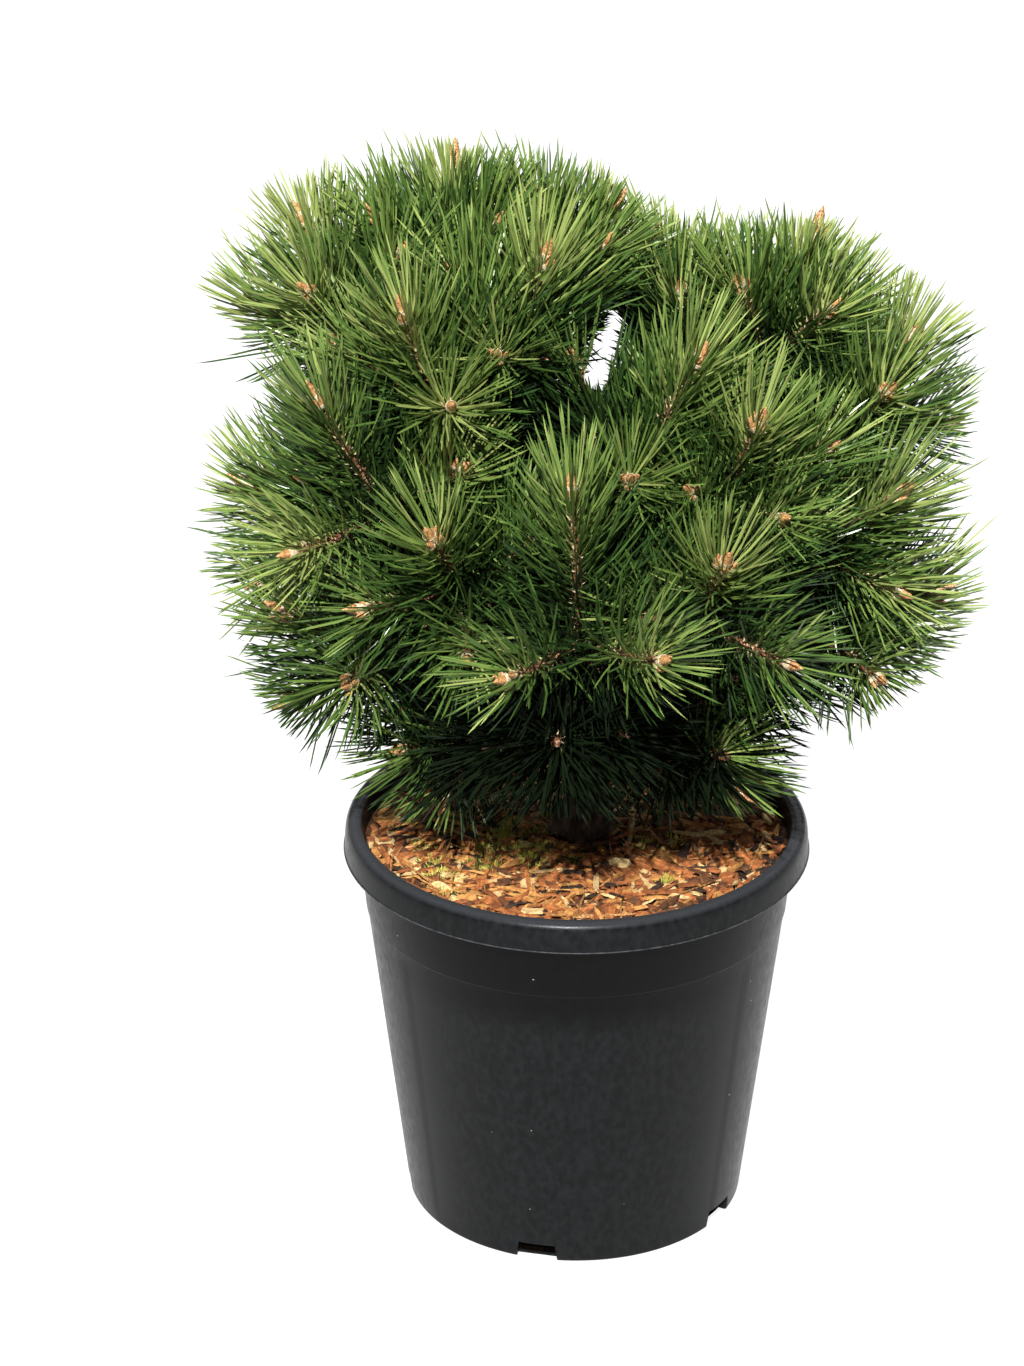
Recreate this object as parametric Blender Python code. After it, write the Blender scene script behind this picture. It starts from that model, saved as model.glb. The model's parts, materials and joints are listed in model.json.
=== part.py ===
"""A mugo pine in its black nursery pot, standing on the pot's flat underside.

Lengths are in metres and +Z is up. The origin is the centre of the pot's underside,
and the side of the plant that faces the viewer is -Y.
"""

import math

import bmesh
import bpy
import numpy as np

CM = 0.01
MM = 0.001
CLEARANCE = 0.3 * MM
CUT_CLEARANCE = 1.5 * CLEARANCE
FACETS = 48
SHARP_ANGLE = 35.0
SEED = 7

# Nursery pot
BASE_RADIUS = 107.5 * MM
BASE_CHAMFER = 3.0 * MM
WALL_THICKNESS = 2.6 * MM
FLOOR_THICKNESS = 4.0 * MM
BAND_HEIGHT = 205.5 * MM
BAND_RADIUS = 132.8 * MM
BAND_STEP = 0.8 * MM
WALL_TOP_HEIGHT = 256.0 * MM
WALL_TOP_RADIUS = 138.4 * MM
RIM_INNER_RADIUS = 136.0 * MM
RIM_INNER_HEIGHT = 258.5 * MM
NOTCH_COUNT = 5
NOTCH_WIDTH = 27.0 * MM
NOTCH_HEIGHT = 12.0 * MM
NOTCH_DEPTH = 13.0 * MM
NOTCH_AZIMUTH = -103.5
NOTCH_TOP_SHARE = 0.88
NOTCH_OVERCUT = 2.0 * MM
NOTCH_PAST_WALL = 10.0 * MM

# Section of the rolled rim, as radius and height: under the roll, down inside the skirt, out
# and up its face, over the crest and down to the inner wall
RIM_SECTION = (
    (141.8 * MM, 258.6 * MM),
    (144.4 * MM, 256.0 * MM),
    (145.2 * MM, 243.5 * MM),
    (147.0 * MM, 243.5 * MM),
    (146.0 * MM, 256.0 * MM),
    (144.4 * MM, 260.3 * MM),
    (141.0 * MM, 262.5 * MM),
    (137.8 * MM, 261.5 * MM),
    (RIM_INNER_RADIUS, RIM_INNER_HEIGHT),
)

# Potting mix and the bark mulch on it
SOIL_EDGE_HEIGHT = 242.0 * MM
SOIL_CENTRE_HEIGHT = 245.0 * MM
SOIL_FLAT_RADIUS = 50.0 * MM
SOIL_SIDE_GAP = 1.2 * CLEARANCE
MULCH_EDGE_HEIGHT = 248.0 * MM
MULCH_CENTRE_HEIGHT = 251.5 * MM
MULCH_BUMP = 2.0 * MM
MULCH_RING_RADII = (32.0 * MM, 68.0 * MM, 100.0 * MM)
MULCH_SIDE_GAP = 2.5 * CLEARANCE
MULCH_EDGE_LIFT = 0.1 * MM

# Trunk: where it stands, where it bends and where it forks, in centimetres
TRUNK_BEND = ((0.3, 0.3, 25.18), (0.9, 0.6, 31.0), (0.0, 0.4, 36.5))
ROOT_FLARE_RADIUS = 21.0 * MM
ROOT_FLARE_HEIGHT = 22.0 * MM
ROOT_FLARE_POWER = 1.3
ROOT_LOBES = 5
ROOT_LOBE_DEPTH = 0.13
TRUNK_ROWS = (0.0, 0.05, 0.12, 0.22, 0.36, 0.52, 0.68, 0.84, 1.0)
TRUNK_SIDES = 15

# One shoot tip needs this much wood, and a limb that feeds n masses is n ** WOOD_POWER times as thick
TWIG_RADIUS = 3.6 * MM
WOOD_POWER = 0.42
TAPER_POWER = 0.8
TRUNK_FORK_SWELL = 1.25
BOUGH_END_SHARE = 0.92
BOUGH_SAG = 0.10
BOUGH_BELLY = 0.12
FORK_STRAIGHTNESS = 0.42
BOUGH_MEETS_MASS = 0.62
BOUGH_PAST_BRANCH = 0.10
LEADING_BOUGH_GAP = 1.3 * CLEARANCE
STEM_GAP = 1.1 * CLEARANCE
LIMB_PIECES = 8

# Rings along a bough and corners round it: one that carries others, one that doesn't, and
# the swollen copy of a parent that hollows the foot of a bough
BRANCHED_BOUGH = (7, 7)
PLAIN_BOUGH = (5, 6)
CUTTER_BOUGH = (8, 7)

# Knot at a stem's end: how far past the end each ring is and how wide, both over the knot's radius
KNOT_RADIUS = 5.0 * MM
KNOT_RINGS = ((-0.6, 1.0), (0.5, 1.0), (1.0, 0.6))
STEM_SIDES = 6

# Shoots: where each may lie, tried several times within these spreads, in degrees
SHOOT_TRIES = 8
TURN_SPREAD = 22.0
LEAN_SPREAD = 9.0
SIZE_LOW = 0.88
SIZE_HIGH = 1.08
SHOOT_LIFT = 0.10
SHOOT_DIP = 0.06
SHOOT_PIECES = 3
SHOOT_CLEARANCE = 9.0 * MM
SHOOT_PLACES = np.linspace(0.3, 1.15, 6)
LOWEST_SHOOT_HEIGHT = 298.0 * MM

# Shoots and their needles
SHOOT_RADIUS = 2.8 * MM
SHOOT_TIP_RADIUS = 2.0 * MM
SHOOT_SIDES = 3
RING_SPACING = 15.0 * MM
FEWEST_RINGS = 4
FACET_ROWS = (0.35, 0.65)
BUD_RADIUS = 3.4 * MM
BUD_LENGTH = 15.0 * MM
BUD_WIDEST = 0.35
NEEDLE_LENGTH = 58.0 * MM
NEEDLE_SHORTEST = 26.0 * MM
NEEDLE_LEAST_SHARE = 0.86
NEEDLE_TIP_LOSS = 0.12
NEEDLE_PITCH_LOW = 66.0
NEEDLE_PITCH_HIGH = 24.0
NEEDLE_PITCH_POWER = 0.8
NEEDLE_TRIALS = (1.0, 0.85, 0.7, 0.55, 0.42, 0.3)
NEEDLE_PLACES = np.linspace(0.25, 1.0, 7)

# Room round a shoot, and what its needles keep off: other shoots, limbs, the pot, and the
# gap between the lobes, given in centimetres as seen from the eye
CELL_MARGIN = 1.0 * MM
CELL_PIECES = 4
LIMB_MARGIN = 1.2 * MM
NEAR_SHOOTS = 0.30
SKY_GAP_LOW = (1.0, 56.0)
SKY_GAP_HIGH = (2.2, 60.0)
SKY_GAP_RADIUS = 0.8
EYE = (-4.0, -271.0, 164.0)
GROUND_HEIGHT = 268.0 * MM
GROUND_RADIUS = 156.0 * MM

# Surface of each kind of piece: sRGB colour and roughness
FINISHES = {
    "pot": ("2B2C2D", 0.42),
    "potting_mix": ("2E2119", 0.95),
    "bark_mulch": ("8A5E38", 0.90),
    "bark": ("4A3527", 0.85),
    "needles": ("4F7A2E", 0.50),
}

# Each mass: its parent limb and the fraction along it, its knot in centimetres, the
# azimuth, elevation and length in centimetres of its leading shoot, then its side
# shoots: how many, the first one's turn, their spread and their length over the leader's.
MASSES = {
    "left_crest": ("trunk", 1.00, (-8.0, 3.5, 60.5), 80, 72, 8.5, 4, 20, 48, 0.90),
    "left_brow": ("left_crest", 0.56, (-13.0, 1.5, 58.0), 165, 62, 9.5, 4, 60, 50, 0.90),
    "left_face": ("left_crest", 0.40, (-8.5, -5.5, 56.5), -116, 60, 9.5, 3, 30, 50, 0.80),
    "left_inner": ("left_crest", 0.64, (-4.0, -1.5, 58.0), -55, 66, 9.0, 3, 0, 50, 0.85),
    "left_peak": ("left_crest", 0.76, (-2.0, 4.0, 59.5), 25, 50, 8.0, 4, 30, 48, 0.90),
    "left_shoulder": ("left_crest", 0.25, (-11.4, -5.5, 49.5), -138, 58, 11.5, 3, 80, 55, 0.80),
    "left_flank": ("left_back", 0.46, (-14.0, 1.5, 45.5), 168, 20, 8.0, 4, 30, 50, 0.90),
    "left_hem": ("trunk", 0.50, (-11.8, -4.5, 40.0), -158, 30, 8.5, 4, 0, 50, 0.90),
    "left_front": ("left_hem", 0.40, (-6.5, -8.5, 46.0), -110, 42, 10.0, 4, 10, 48, 0.85),
    "front": ("trunk", 0.70, (0.1, -12.5, 44.3), -102, 72, 13.0, 4, 45, 68, 0.80),
    "front_hem": ("front", 0.30, (-1.0, -10.0, 38.0), -95, 12, 7.0, 4, 0, 50, 0.90),
    "right_front": ("right_hem", 0.34, (7.0, -9.5, 44.5), -78, 45, 10.0, 4, 20, 50, 0.90),
    "right_inner": ("right_crest", 0.36, (2.6, -5.0, 51.0), -42, 60, 12.5, 3, 0, 45, 0.75),
    "right_face": ("right_crest", 0.50, (8.5, -5.5, 50.5), -64, 56, 9.0, 4, 30, 50, 0.85),
    "right_peak": ("right_crest", 0.72, (6.5, 5.5, 55.0), 120, 68, 8.5, 3, 0, 45, 0.85),
    "right_crest": ("trunk", 0.85, (11.6, 4.5, 55.5), 34, 66, 9.5, 4, 40, 48, 0.80),
    "right_brow": ("right_crest", 0.62, (16.0, 2.5, 51.5), 20, 50, 8.5, 4, 0, 50, 0.90),
    "right_flank": ("right_hem", 0.50, (13.8, -3.5, 46.5), -25, 38, 8.5, 4, 30, 50, 0.90),
    "right_hem": ("trunk", 0.58, (14.8, -2.0, 40.5), -11, 22, 8.5, 4, 20, 52, 0.90),
    "skirt_left": ("trunk", 0.25, (-6.5, -4.0, 34.0), -140, 8, 6.5, 3, 10, 50, 0.80),
    "skirt_right": ("trunk", 0.30, (6.0, -5.5, 34.5), -60, 12, 7.0, 3, 40, 50, 0.80),
    "back_crest": ("left_crest", 0.48, (-9.0, 9.0, 54.0), 110, 60, 9.0, 4, 10, 50, 0.85),
    "left_back": ("trunk", 0.62, (-10.0, 10.0, 45.0), 128, 40, 9.0, 4, 40, 50, 0.90),
    "back": ("trunk", 0.78, (1.0, 10.5, 41.5), 88, 36, 8.5, 4, 0, 52, 0.90),
    "right_back": ("right_crest", 0.26, (10.5, 10.5, 46.0), 55, 42, 9.5, 4, 20, 50, 0.90),
    "back_hem_left": ("left_back", 0.28, (-7.0, 8.5, 37.5), 122, 14, 7.5, 4, 30, 50, 0.90),
    "back_hem_right": ("back", 0.30, (8.0, 7.5, 37.5), 45, 14, 8.5, 4, 10, 50, 0.90),
}


def unit(v):
    """The vectors of an array, each one metre long."""
    return v / np.linalg.norm(v, axis=-1, keepdims=True)


def curve_points(curve, t):
    """Points at fractions t along a three-point Bezier curve."""
    start, bend, end = curve
    t = np.asarray(t, float)[:, None]
    return (1 - t) ** 2 * start + 2 * t * (1 - t) * bend + t**2 * end


def curve_tangents(curve, t):
    """Unit directions of travel at fractions t along a three-point Bezier curve."""
    start, bend, end = curve
    t = np.asarray(t, float)[:, None]
    return unit((1 - t) * (bend - start) + t * (end - bend))


def direction(azimuth, elevation):
    """The unit vector with this azimuth from +X and elevation above level, in degrees."""
    a = math.radians(azimuth)
    e = math.radians(elevation)
    return np.array([math.cos(a) * math.cos(e), math.sin(a) * math.cos(e), math.sin(e)])


def side_vectors(tangents):
    """Two unit vectors square to each tangent, carried along the path without twist."""
    reference = np.array([1.0, 0.0, 0.0])
    mostly_along_x = abs(tangents[0][0]) > 0.8
    if mostly_along_x:
        reference = np.array([0.0, 1.0, 0.0])
    first = unit(np.cross(reference, tangents[0]))
    firsts = []
    for tangent in tangents:
        first = unit(first - tangent * np.dot(first, tangent))
        firsts.append(first)
    firsts = np.array(firsts)
    return firsts, np.cross(tangents, firsts)


def in_sky_gap(points):
    """Which points would close the gap between the two lobes, seen from the front."""
    eye = np.array(EYE) * CM
    scale = eye[1] / (eye[1] - points[:, 1])
    seen = eye[None, ::2] + (points[:, ::2] - eye[None, ::2]) * scale[:, None]
    low = np.array(SKY_GAP_LOW) * CM
    along = np.array(SKY_GAP_HIGH) * CM - low
    t = np.clip((seen - low) @ along / (along @ along), 0.0, 1.0)
    return np.linalg.norm(seen - low - t[:, None] * along, axis=1) < SKY_GAP_RADIUS * CM


# Skeleton: every limb is one curve from its parent to its knot
def limb_curves():
    """The curve of the trunk and of each limb, by name."""
    curves = {"trunk": tuple(np.array(p) * CM for p in TRUNK_BEND)}

    def grow(name):
        if name in curves:
            return curves[name]
        parent, fraction, knot = MASSES[name][:3]
        parent_curve = grow(parent)
        start = curve_points(parent_curve, [fraction])[0]
        end = np.array(knot) * CM
        reach = end - start
        length = np.linalg.norm(reach)
        if fraction >= 1.0:
            bend = start + curve_tangents(parent_curve, [1.0])[0] * length * FORK_STRAIGHTNESS
        else:
            outward = reach * (1.0, 1.0, 0.0)
            bend = start + reach / 2 + outward * BOUGH_BELLY
            bend = bend - np.array([0.0, 0.0, BOUGH_SAG * length])
        curves[name] = (start, bend, end)
        return curves[name]

    for name in MASSES:
        grow(name)
    return curves


def masses_fed(name):
    """How many masses the wood of this limb leads to."""
    children = [child for child in MASSES if MASSES[child][0] == name]
    own = 0 if name == "trunk" else 1
    return own + sum(masses_fed(child) for child in children)


def meeting_fraction(name):
    """The fraction along a limb's curve at which its bough ends and its mass's stem starts."""
    leaving = [row[1] for row in MASSES.values() if row[0] == name]
    return max([BOUGH_MEETS_MASS] + [fraction + BOUGH_PAST_BRANCH for fraction in leaving])


def limb_radius(name, t):
    """The radius of a limb at fractions t of its curve: wood narrows from what it feeds to a twig."""
    thick = TWIG_RADIUS * masses_fed(name) ** WOOD_POWER
    if name == "trunk":
        thin = TWIG_RADIUS * masses_fed("left_crest") ** WOOD_POWER * TRUNK_FORK_SWELL
    else:
        thin = TWIG_RADIUS * BOUGH_END_SHARE
    return thick + (thin - thick) * np.asarray(t, float) ** TAPER_POWER


# Shoots: a leader from each knot with side shoots round it, each laid where it has most room
def segment_distance(points, starts, ends):
    """Distances from n points to m segments, as an n by m array."""
    along = ends - starts
    offset = points[:, None, :] - starts[None]
    t = np.einsum("nmk,mk->nm", offset, along) / np.einsum("mk,mk->m", along, along)
    t = np.clip(t, 0.0, 1.0)
    return np.linalg.norm(offset - t[..., None] * along[None], axis=2)


def polyline(curve, pieces, start=0.0, end=1.0):
    """The start and end points of the straight pieces that follow a curve."""
    points = curve_points(curve, np.linspace(start, end, pieces + 1))
    return points[:-1], points[1:]


def shoot_curve(knot, heading, length):
    """A shoot that leaves its knot a little low and turns up to its tip."""
    tip = knot + heading * length
    bend = knot + heading * length / 2 - np.array([0.0, 0.0, SHOOT_DIP * length])
    return knot, bend, tip


def grow_shoots(curves):
    """Every shoot as (mass name, curve). The leaders come first, so side shoots keep off them."""
    shoots = []
    for name, row in MASSES.items():
        knot = np.array(row[2]) * CM
        shoots.append((name, shoot_curve(knot, direction(row[3], row[4]), row[5] * CM)))
    limb_starts, limb_ends, limb_reach = [], [], []
    for name, curve in curves.items():
        starts, ends = polyline(curve, LIMB_PIECES)
        limb_starts.append(starts)
        limb_ends.append(ends)
        limb_reach.append(limb_radius(name, np.linspace(0.0, 1.0, LIMB_PIECES)))
    limb_starts = np.concatenate(limb_starts)
    limb_ends = np.concatenate(limb_ends)
    limb_reach = np.concatenate(limb_reach)
    for index, (name, row) in enumerate(MASSES.items()):
        rng = np.random.default_rng(SEED * 100 + index)
        knot = np.array(row[2]) * CM
        heading = direction(row[3], row[4])
        length, count, turn, spread, ratio = row[5] * CM, row[6], row[7], row[8], row[9]
        first, second = (v[0] for v in side_vectors(heading[None]))
        for j in range(count):
            best = None
            for _ in range(SHOOT_TRIES):
                around = math.radians(turn + 360.0 * j / count + rng.uniform(-TURN_SPREAD, TURN_SPREAD))
                lean = math.radians(spread + rng.uniform(-LEAN_SPREAD, LEAN_SPREAD))
                side = first * math.cos(around) + second * math.sin(around)
                lift = np.array([0.0, 0.0, SHOOT_LIFT])
                aim = unit(heading * math.cos(lean) + side * math.sin(lean) + lift)
                size = length * ratio * rng.uniform(SIZE_LOW, SIZE_HIGH)
                curve = shoot_curve(knot, aim, size)
                points = curve_points(curve, SHOOT_PLACES)
                room = (segment_distance(points, limb_starts, limb_ends) - limb_reach).min()
                for _, other in shoots:
                    starts, ends = polyline(other, SHOOT_PIECES)
                    room = min(room, segment_distance(points, starts, ends).min())
                radius = np.linalg.norm(points[:, :2], axis=1)
                over_pot = points[:, 2].min() < LOWEST_SHOOT_HEIGHT and radius.min() < GROUND_RADIUS
                if over_pot or in_sky_gap(points).any():
                    room = -1.0
                if best is None or room > best[0]:
                    best = (room, curve)
            if best[0] > SHOOT_CLEARANCE:
                shoots.append((name, best[1]))
    return shoots


# Meshes
def linear(channel):
    """One sRGB channel from 0 to 1 as linear light."""
    if channel <= 0.04045:
        return channel / 12.92
    return ((channel + 0.055) / 1.055) ** 2.4


def give_finish(obj, kind):
    """Give a piece its own Principled material and smooth shading with sharp edges kept."""
    colour, roughness = FINISHES[kind]
    channels = [linear(int(colour[i : i + 2], 16) / 255) for i in (0, 2, 4)]
    material = bpy.data.materials.new(obj.name)
    material.use_nodes = True
    shader = material.node_tree.nodes["Principled BSDF"]
    shader.inputs["Base Color"].default_value = (*channels, 1.0)
    shader.inputs["Roughness"].default_value = roughness
    shader.inputs["Metallic"].default_value = 0.0
    obj.data.materials.clear()
    obj.data.materials.append(material)
    obj.data.shade_smooth()
    obj.data.set_sharp_from_angle(angle=math.radians(SHARP_ANGLE))


def new_mesh_object(name, points, faces):
    """A mesh object of these points and faces, linked to the scene."""
    mesh = bpy.data.meshes.new(name)
    mesh.from_pydata([tuple(map(float, p)) for p in points], [], [tuple(map(int, f)) for f in faces])
    mesh.validate()
    work = bmesh.new()
    work.from_mesh(mesh)
    bmesh.ops.recalc_face_normals(work, faces=work.faces)
    work.to_mesh(mesh)
    work.free()
    obj = bpy.data.objects.new(name, mesh)
    bpy.context.scene.collection.objects.link(obj)
    return obj


def revolve(name, profile):
    """A solid of revolution. The profile runs from the axis out, up and back to the axis."""
    profile = np.array(profile)
    angles = 2 * math.pi * np.arange(FACETS) / FACETS
    ring_rows = [i for i in range(len(profile)) if profile[i, 0] > 0]
    points = [(0.0, 0.0, profile[0, 1]), (0.0, 0.0, profile[-1, 1])]
    for i in ring_rows:
        radius, height = profile[i]
        points.extend((radius * math.cos(a), radius * math.sin(a), height) for a in angles)
    faces = []
    for k in range(FACETS):
        after = (k + 1) % FACETS
        faces.append((0, 2 + after, 2 + k))
        top = 2 + (len(ring_rows) - 1) * FACETS
        faces.append((1, top + k, top + after))
        for row in range(len(ring_rows) - 1):
            low = 2 + row * FACETS
            high = low + FACETS
            faces.append((low + k, low + after, high + after, high + k))
    return new_mesh_object(name, points, faces)


def tube(name, centres, tangents, radii, sides, level_foot=False, lobes=None):
    """A closed limb: a ring of corners at each centre, joined along, with a flat face at each end."""
    firsts, seconds = side_vectors(tangents)
    around = 2 * math.pi * np.arange(sides) / sides
    points = []
    for row, centre in enumerate(centres):
        swell = np.ones(sides) if lobes is None else lobes(row, around)
        ring = np.outer(np.cos(around) * swell, firsts[row]) + np.outer(np.sin(around) * swell, seconds[row])
        ring = centre + ring * radii[row]
        if level_foot and row == 0:
            ring[:, 2] = centre[2]
        points.append(ring)
    points = np.concatenate(points)
    faces = [tuple(range(sides))[::-1], tuple(range(len(points) - sides, len(points)))]
    for row in range(len(centres) - 1):
        for k in range(sides):
            a = row * sides + k
            b = row * sides + (k + 1) % sides
            faces.append((a, b, b + sides, a + sides))
    return new_mesh_object(name, points, faces)


def stem_tube(name, curve, start):
    """A mass's stem, from its bough to a swollen knot that holds the roots of its shoots."""
    past, width = np.array([(0.0, 1.0), (0.0, 1.0), *KNOT_RINGS]).T * KNOT_RADIUS
    t = np.array([start, (1 + start) / 2, 1.0, 1.0, 1.0])
    tangents = curve_tangents(curve, t)
    centres = curve_points(curve, t) + tangents * past[:, None]
    radii = np.where(past == 0, limb_radius(name, t), width)
    return tube("stem", centres, tangents, radii, STEM_SIDES)


def limb_tube(name, limb, curve, start, end, rows, sides, swell=0.0):
    """The part of a limb between two fractions of its curve."""
    t = np.linspace(start, end, rows)
    radii = limb_radius(limb, t) + swell
    return tube(name, curve_points(curve, t), curve_tangents(curve, t), radii, sides)


def apply_boolean(obj, operation, solver, other=None, collection=None):
    """Put one Boolean on a mesh object and apply it."""
    modifier = obj.modifiers.new(operation.lower(), "BOOLEAN")
    modifier.operation = operation
    modifier.solver = solver
    if collection is None:
        modifier.object = other
    else:
        modifier.operand_type = "COLLECTION"
        modifier.collection = collection
    bpy.context.view_layer.update()
    graph = bpy.context.evaluated_depsgraph_get()
    result = bpy.data.meshes.new_from_object(obj.evaluated_get(graph))
    obj.modifiers.clear()
    return result


def sound(mesh):
    """Weld a mesh's doubled corners, then tell whether it is one closed body."""
    work = bmesh.new()
    work.from_mesh(mesh)
    bmesh.ops.remove_doubles(work, verts=work.verts, dist=0.001 * MM)
    work.to_mesh(mesh)
    closed = len(work.faces) > 0 and all(edge.is_manifold for edge in work.edges)
    work.verts.ensure_lookup_table()
    seen = {work.verts[0]}
    to_visit = [work.verts[0]]
    while to_visit:
        vert = to_visit.pop()
        fresh = [link.other_vert(vert) for link in vert.link_edges]
        fresh = [far for far in fresh if far not in seen]
        seen.update(fresh)
        to_visit.extend(fresh)
    whole = closed and len(seen) == len(work.verts)
    work.free()
    return whole


def join_pieces(name, pieces):
    """One body from overlapping pieces, by a union over a collection that is then removed."""
    body = pieces[0]
    rest = bpy.data.collections.new(name + "_pieces")
    bpy.context.scene.collection.children.link(rest)
    for piece in pieces[1:]:
        bpy.context.scene.collection.objects.unlink(piece)
        rest.objects.link(piece)
    mesh = None
    for solver in ("EXACT", "MANIFOLD"):
        mesh = apply_boolean(body, "UNION", solver, collection=rest)
        if sound(mesh):
            break
        print(name, "isn't one closed body by", solver)
    for piece in pieces[1:]:
        bpy.data.objects.remove(piece)
    bpy.data.collections.remove(rest)
    body.data = mesh
    body.name = name
    return body


# Pot, potting mix and mulch
def wall_radius(height):
    """The radius of the pot's outer wall at a height."""
    if height <= BAND_HEIGHT:
        return BASE_RADIUS + (BAND_RADIUS - BASE_RADIUS) * height / BAND_HEIGHT
    low = BAND_RADIUS + BAND_STEP
    return low + (WALL_TOP_RADIUS - low) * (height - BAND_HEIGHT) / (WALL_TOP_HEIGHT - BAND_HEIGHT)


def inner_radius(height):
    """The radius of the pot's inner wall at a height, straight from floor to rim."""
    bottom = BASE_RADIUS - WALL_THICKNESS
    share = (height - FLOOR_THICKNESS) / (RIM_INNER_HEIGHT - FLOOR_THICKNESS)
    return bottom + (RIM_INNER_RADIUS - bottom) * share


def make_pot():
    """The pot: a tapered wall with a raised band, and a rim rolled out and down into a skirt."""
    profile = [
        (0.0, 0.0),
        (BASE_RADIUS - BASE_CHAMFER, 0.0),
        (wall_radius(BASE_CHAMFER), BASE_CHAMFER),
        (BAND_RADIUS, BAND_HEIGHT),
        (BAND_RADIUS + BAND_STEP, BAND_HEIGHT + BAND_STEP),
        (WALL_TOP_RADIUS, WALL_TOP_HEIGHT),
        *RIM_SECTION,
        (inner_radius(FLOOR_THICKNESS), FLOOR_THICKNESS),
        (0.0, FLOOR_THICKNESS),
    ]
    pot = revolve("pot", profile)
    points, faces = [], []
    for k in range(NOTCH_COUNT):
        angle = math.radians(NOTCH_AZIMUTH + 360.0 * k / NOTCH_COUNT)
        outward = np.array([math.cos(angle), math.sin(angle), 0.0])
        across = np.array([-math.sin(angle), math.cos(angle), 0.0])
        near = BASE_RADIUS - NOTCH_DEPTH
        far = BASE_RADIUS + NOTCH_PAST_WALL
        first = len(points)
        for height, share in ((-NOTCH_OVERCUT, 1.0), (NOTCH_HEIGHT, NOTCH_TOP_SHARE)):
            half = share * NOTCH_WIDTH / 2
            for depth, side in ((near, -1), (far, -1), (far, 1), (near, 1)):
                points.append(outward * depth + across * side * half + (0, 0, height))
        corners = ((3, 2, 1, 0), (4, 5, 6, 7), (0, 1, 5, 4), (1, 2, 6, 5), (2, 3, 7, 6), (3, 0, 4, 7))
        faces.extend(tuple(first + c for c in corner) for corner in corners)
    cutter = new_mesh_object("notches", points, faces)
    cutter.hide_render = True
    cutter.display_type = "WIRE"
    pot.data = apply_boolean(pot, "DIFFERENCE", "EXACT", other=cutter)
    bpy.data.objects.remove(cutter)
    give_finish(pot, "pot")


def make_soil():
    """The potting mix that fills the pot, a clearance inside its floor and wall."""
    low = FLOOR_THICKNESS + CLEARANCE
    soil = revolve(
        "potting_mix",
        [
            (0.0, low),
            (inner_radius(low) - SOIL_SIDE_GAP, low),
            (inner_radius(SOIL_EDGE_HEIGHT) - SOIL_SIDE_GAP, SOIL_EDGE_HEIGHT),
            (SOIL_FLAT_RADIUS, SOIL_CENTRE_HEIGHT),
            (0.0, SOIL_CENTRE_HEIGHT),
        ],
    )
    give_finish(soil, "potting_mix")


def make_mulch():
    """The layer of bark chips: a domed disc with an uneven top, level where the trunk stands."""
    rng = np.random.default_rng(SEED)
    edge = inner_radius(SOIL_EDGE_HEIGHT) - MULCH_SIDE_GAP
    radii = np.array([*MULCH_RING_RADII, edge])
    angles = 2 * math.pi * np.arange(FACETS) / FACETS
    points = [(0.0, 0.0, SOIL_CENTRE_HEIGHT + CLEARANCE), (0.0, 0.0, MULCH_CENTRE_HEIGHT)]
    underside = ((SOIL_FLAT_RADIUS, SOIL_CENTRE_HEIGHT), (edge, SOIL_EDGE_HEIGHT + MULCH_EDGE_LIFT))
    for radius, height in underside:
        points.extend((radius * math.cos(a), radius * math.sin(a), height + CLEARANCE) for a in angles)
    for row, radius in list(enumerate(radii))[::-1]:
        level = MULCH_CENTRE_HEIGHT + (MULCH_EDGE_HEIGHT - MULCH_CENTRE_HEIGHT) * (radius / edge) ** 2
        bump = rng.uniform(-MULCH_BUMP, MULCH_BUMP, FACETS)
        if row in (0, len(radii) - 1):
            bump = bump * 0.0
        if row == 0:
            level = MULCH_CENTRE_HEIGHT
        points.extend((radius * math.cos(a), radius * math.sin(a), level + b) for a, b in zip(angles, bump))
    rows = 2 + len(radii)
    faces = []
    for k in range(FACETS):
        after = (k + 1) % FACETS
        faces.append((0, 2 + after, 2 + k))
        top = 2 + (rows - 1) * FACETS
        faces.append((1, top + k, top + after))
        for row in range(rows - 1):
            low = 2 + row * FACETS
            high = low + FACETS
            faces.append((low + k, low + after, high + k))
            faces.append((low + after, high + after, high + k))
    give_finish(new_mesh_object("bark_mulch", points, faces), "bark_mulch")


# Trunk and boughs
def make_trunk(curve, name="trunk", swell=0.0):
    """The trunk from its flat foot to its fork, flared and lobed at the root."""
    t = np.array(TRUNK_ROWS)
    centres = curve_points(curve, t)
    rise = centres[:, 2] - centres[0, 2]
    flare = np.exp(-((rise / ROOT_FLARE_HEIGHT) ** ROOT_FLARE_POWER))
    thick = limb_radius("trunk", t)
    radii = thick + (ROOT_FLARE_RADIUS - thick[0]) * flare + swell

    def lobes(row, around):
        return 1.0 + ROOT_LOBE_DEPTH * flare[row] * np.cos(ROOT_LOBES * around)

    return tube(name, centres, curve_tangents(curve, t), radii, TRUNK_SIDES, level_foot=True, lobes=lobes)


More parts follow.
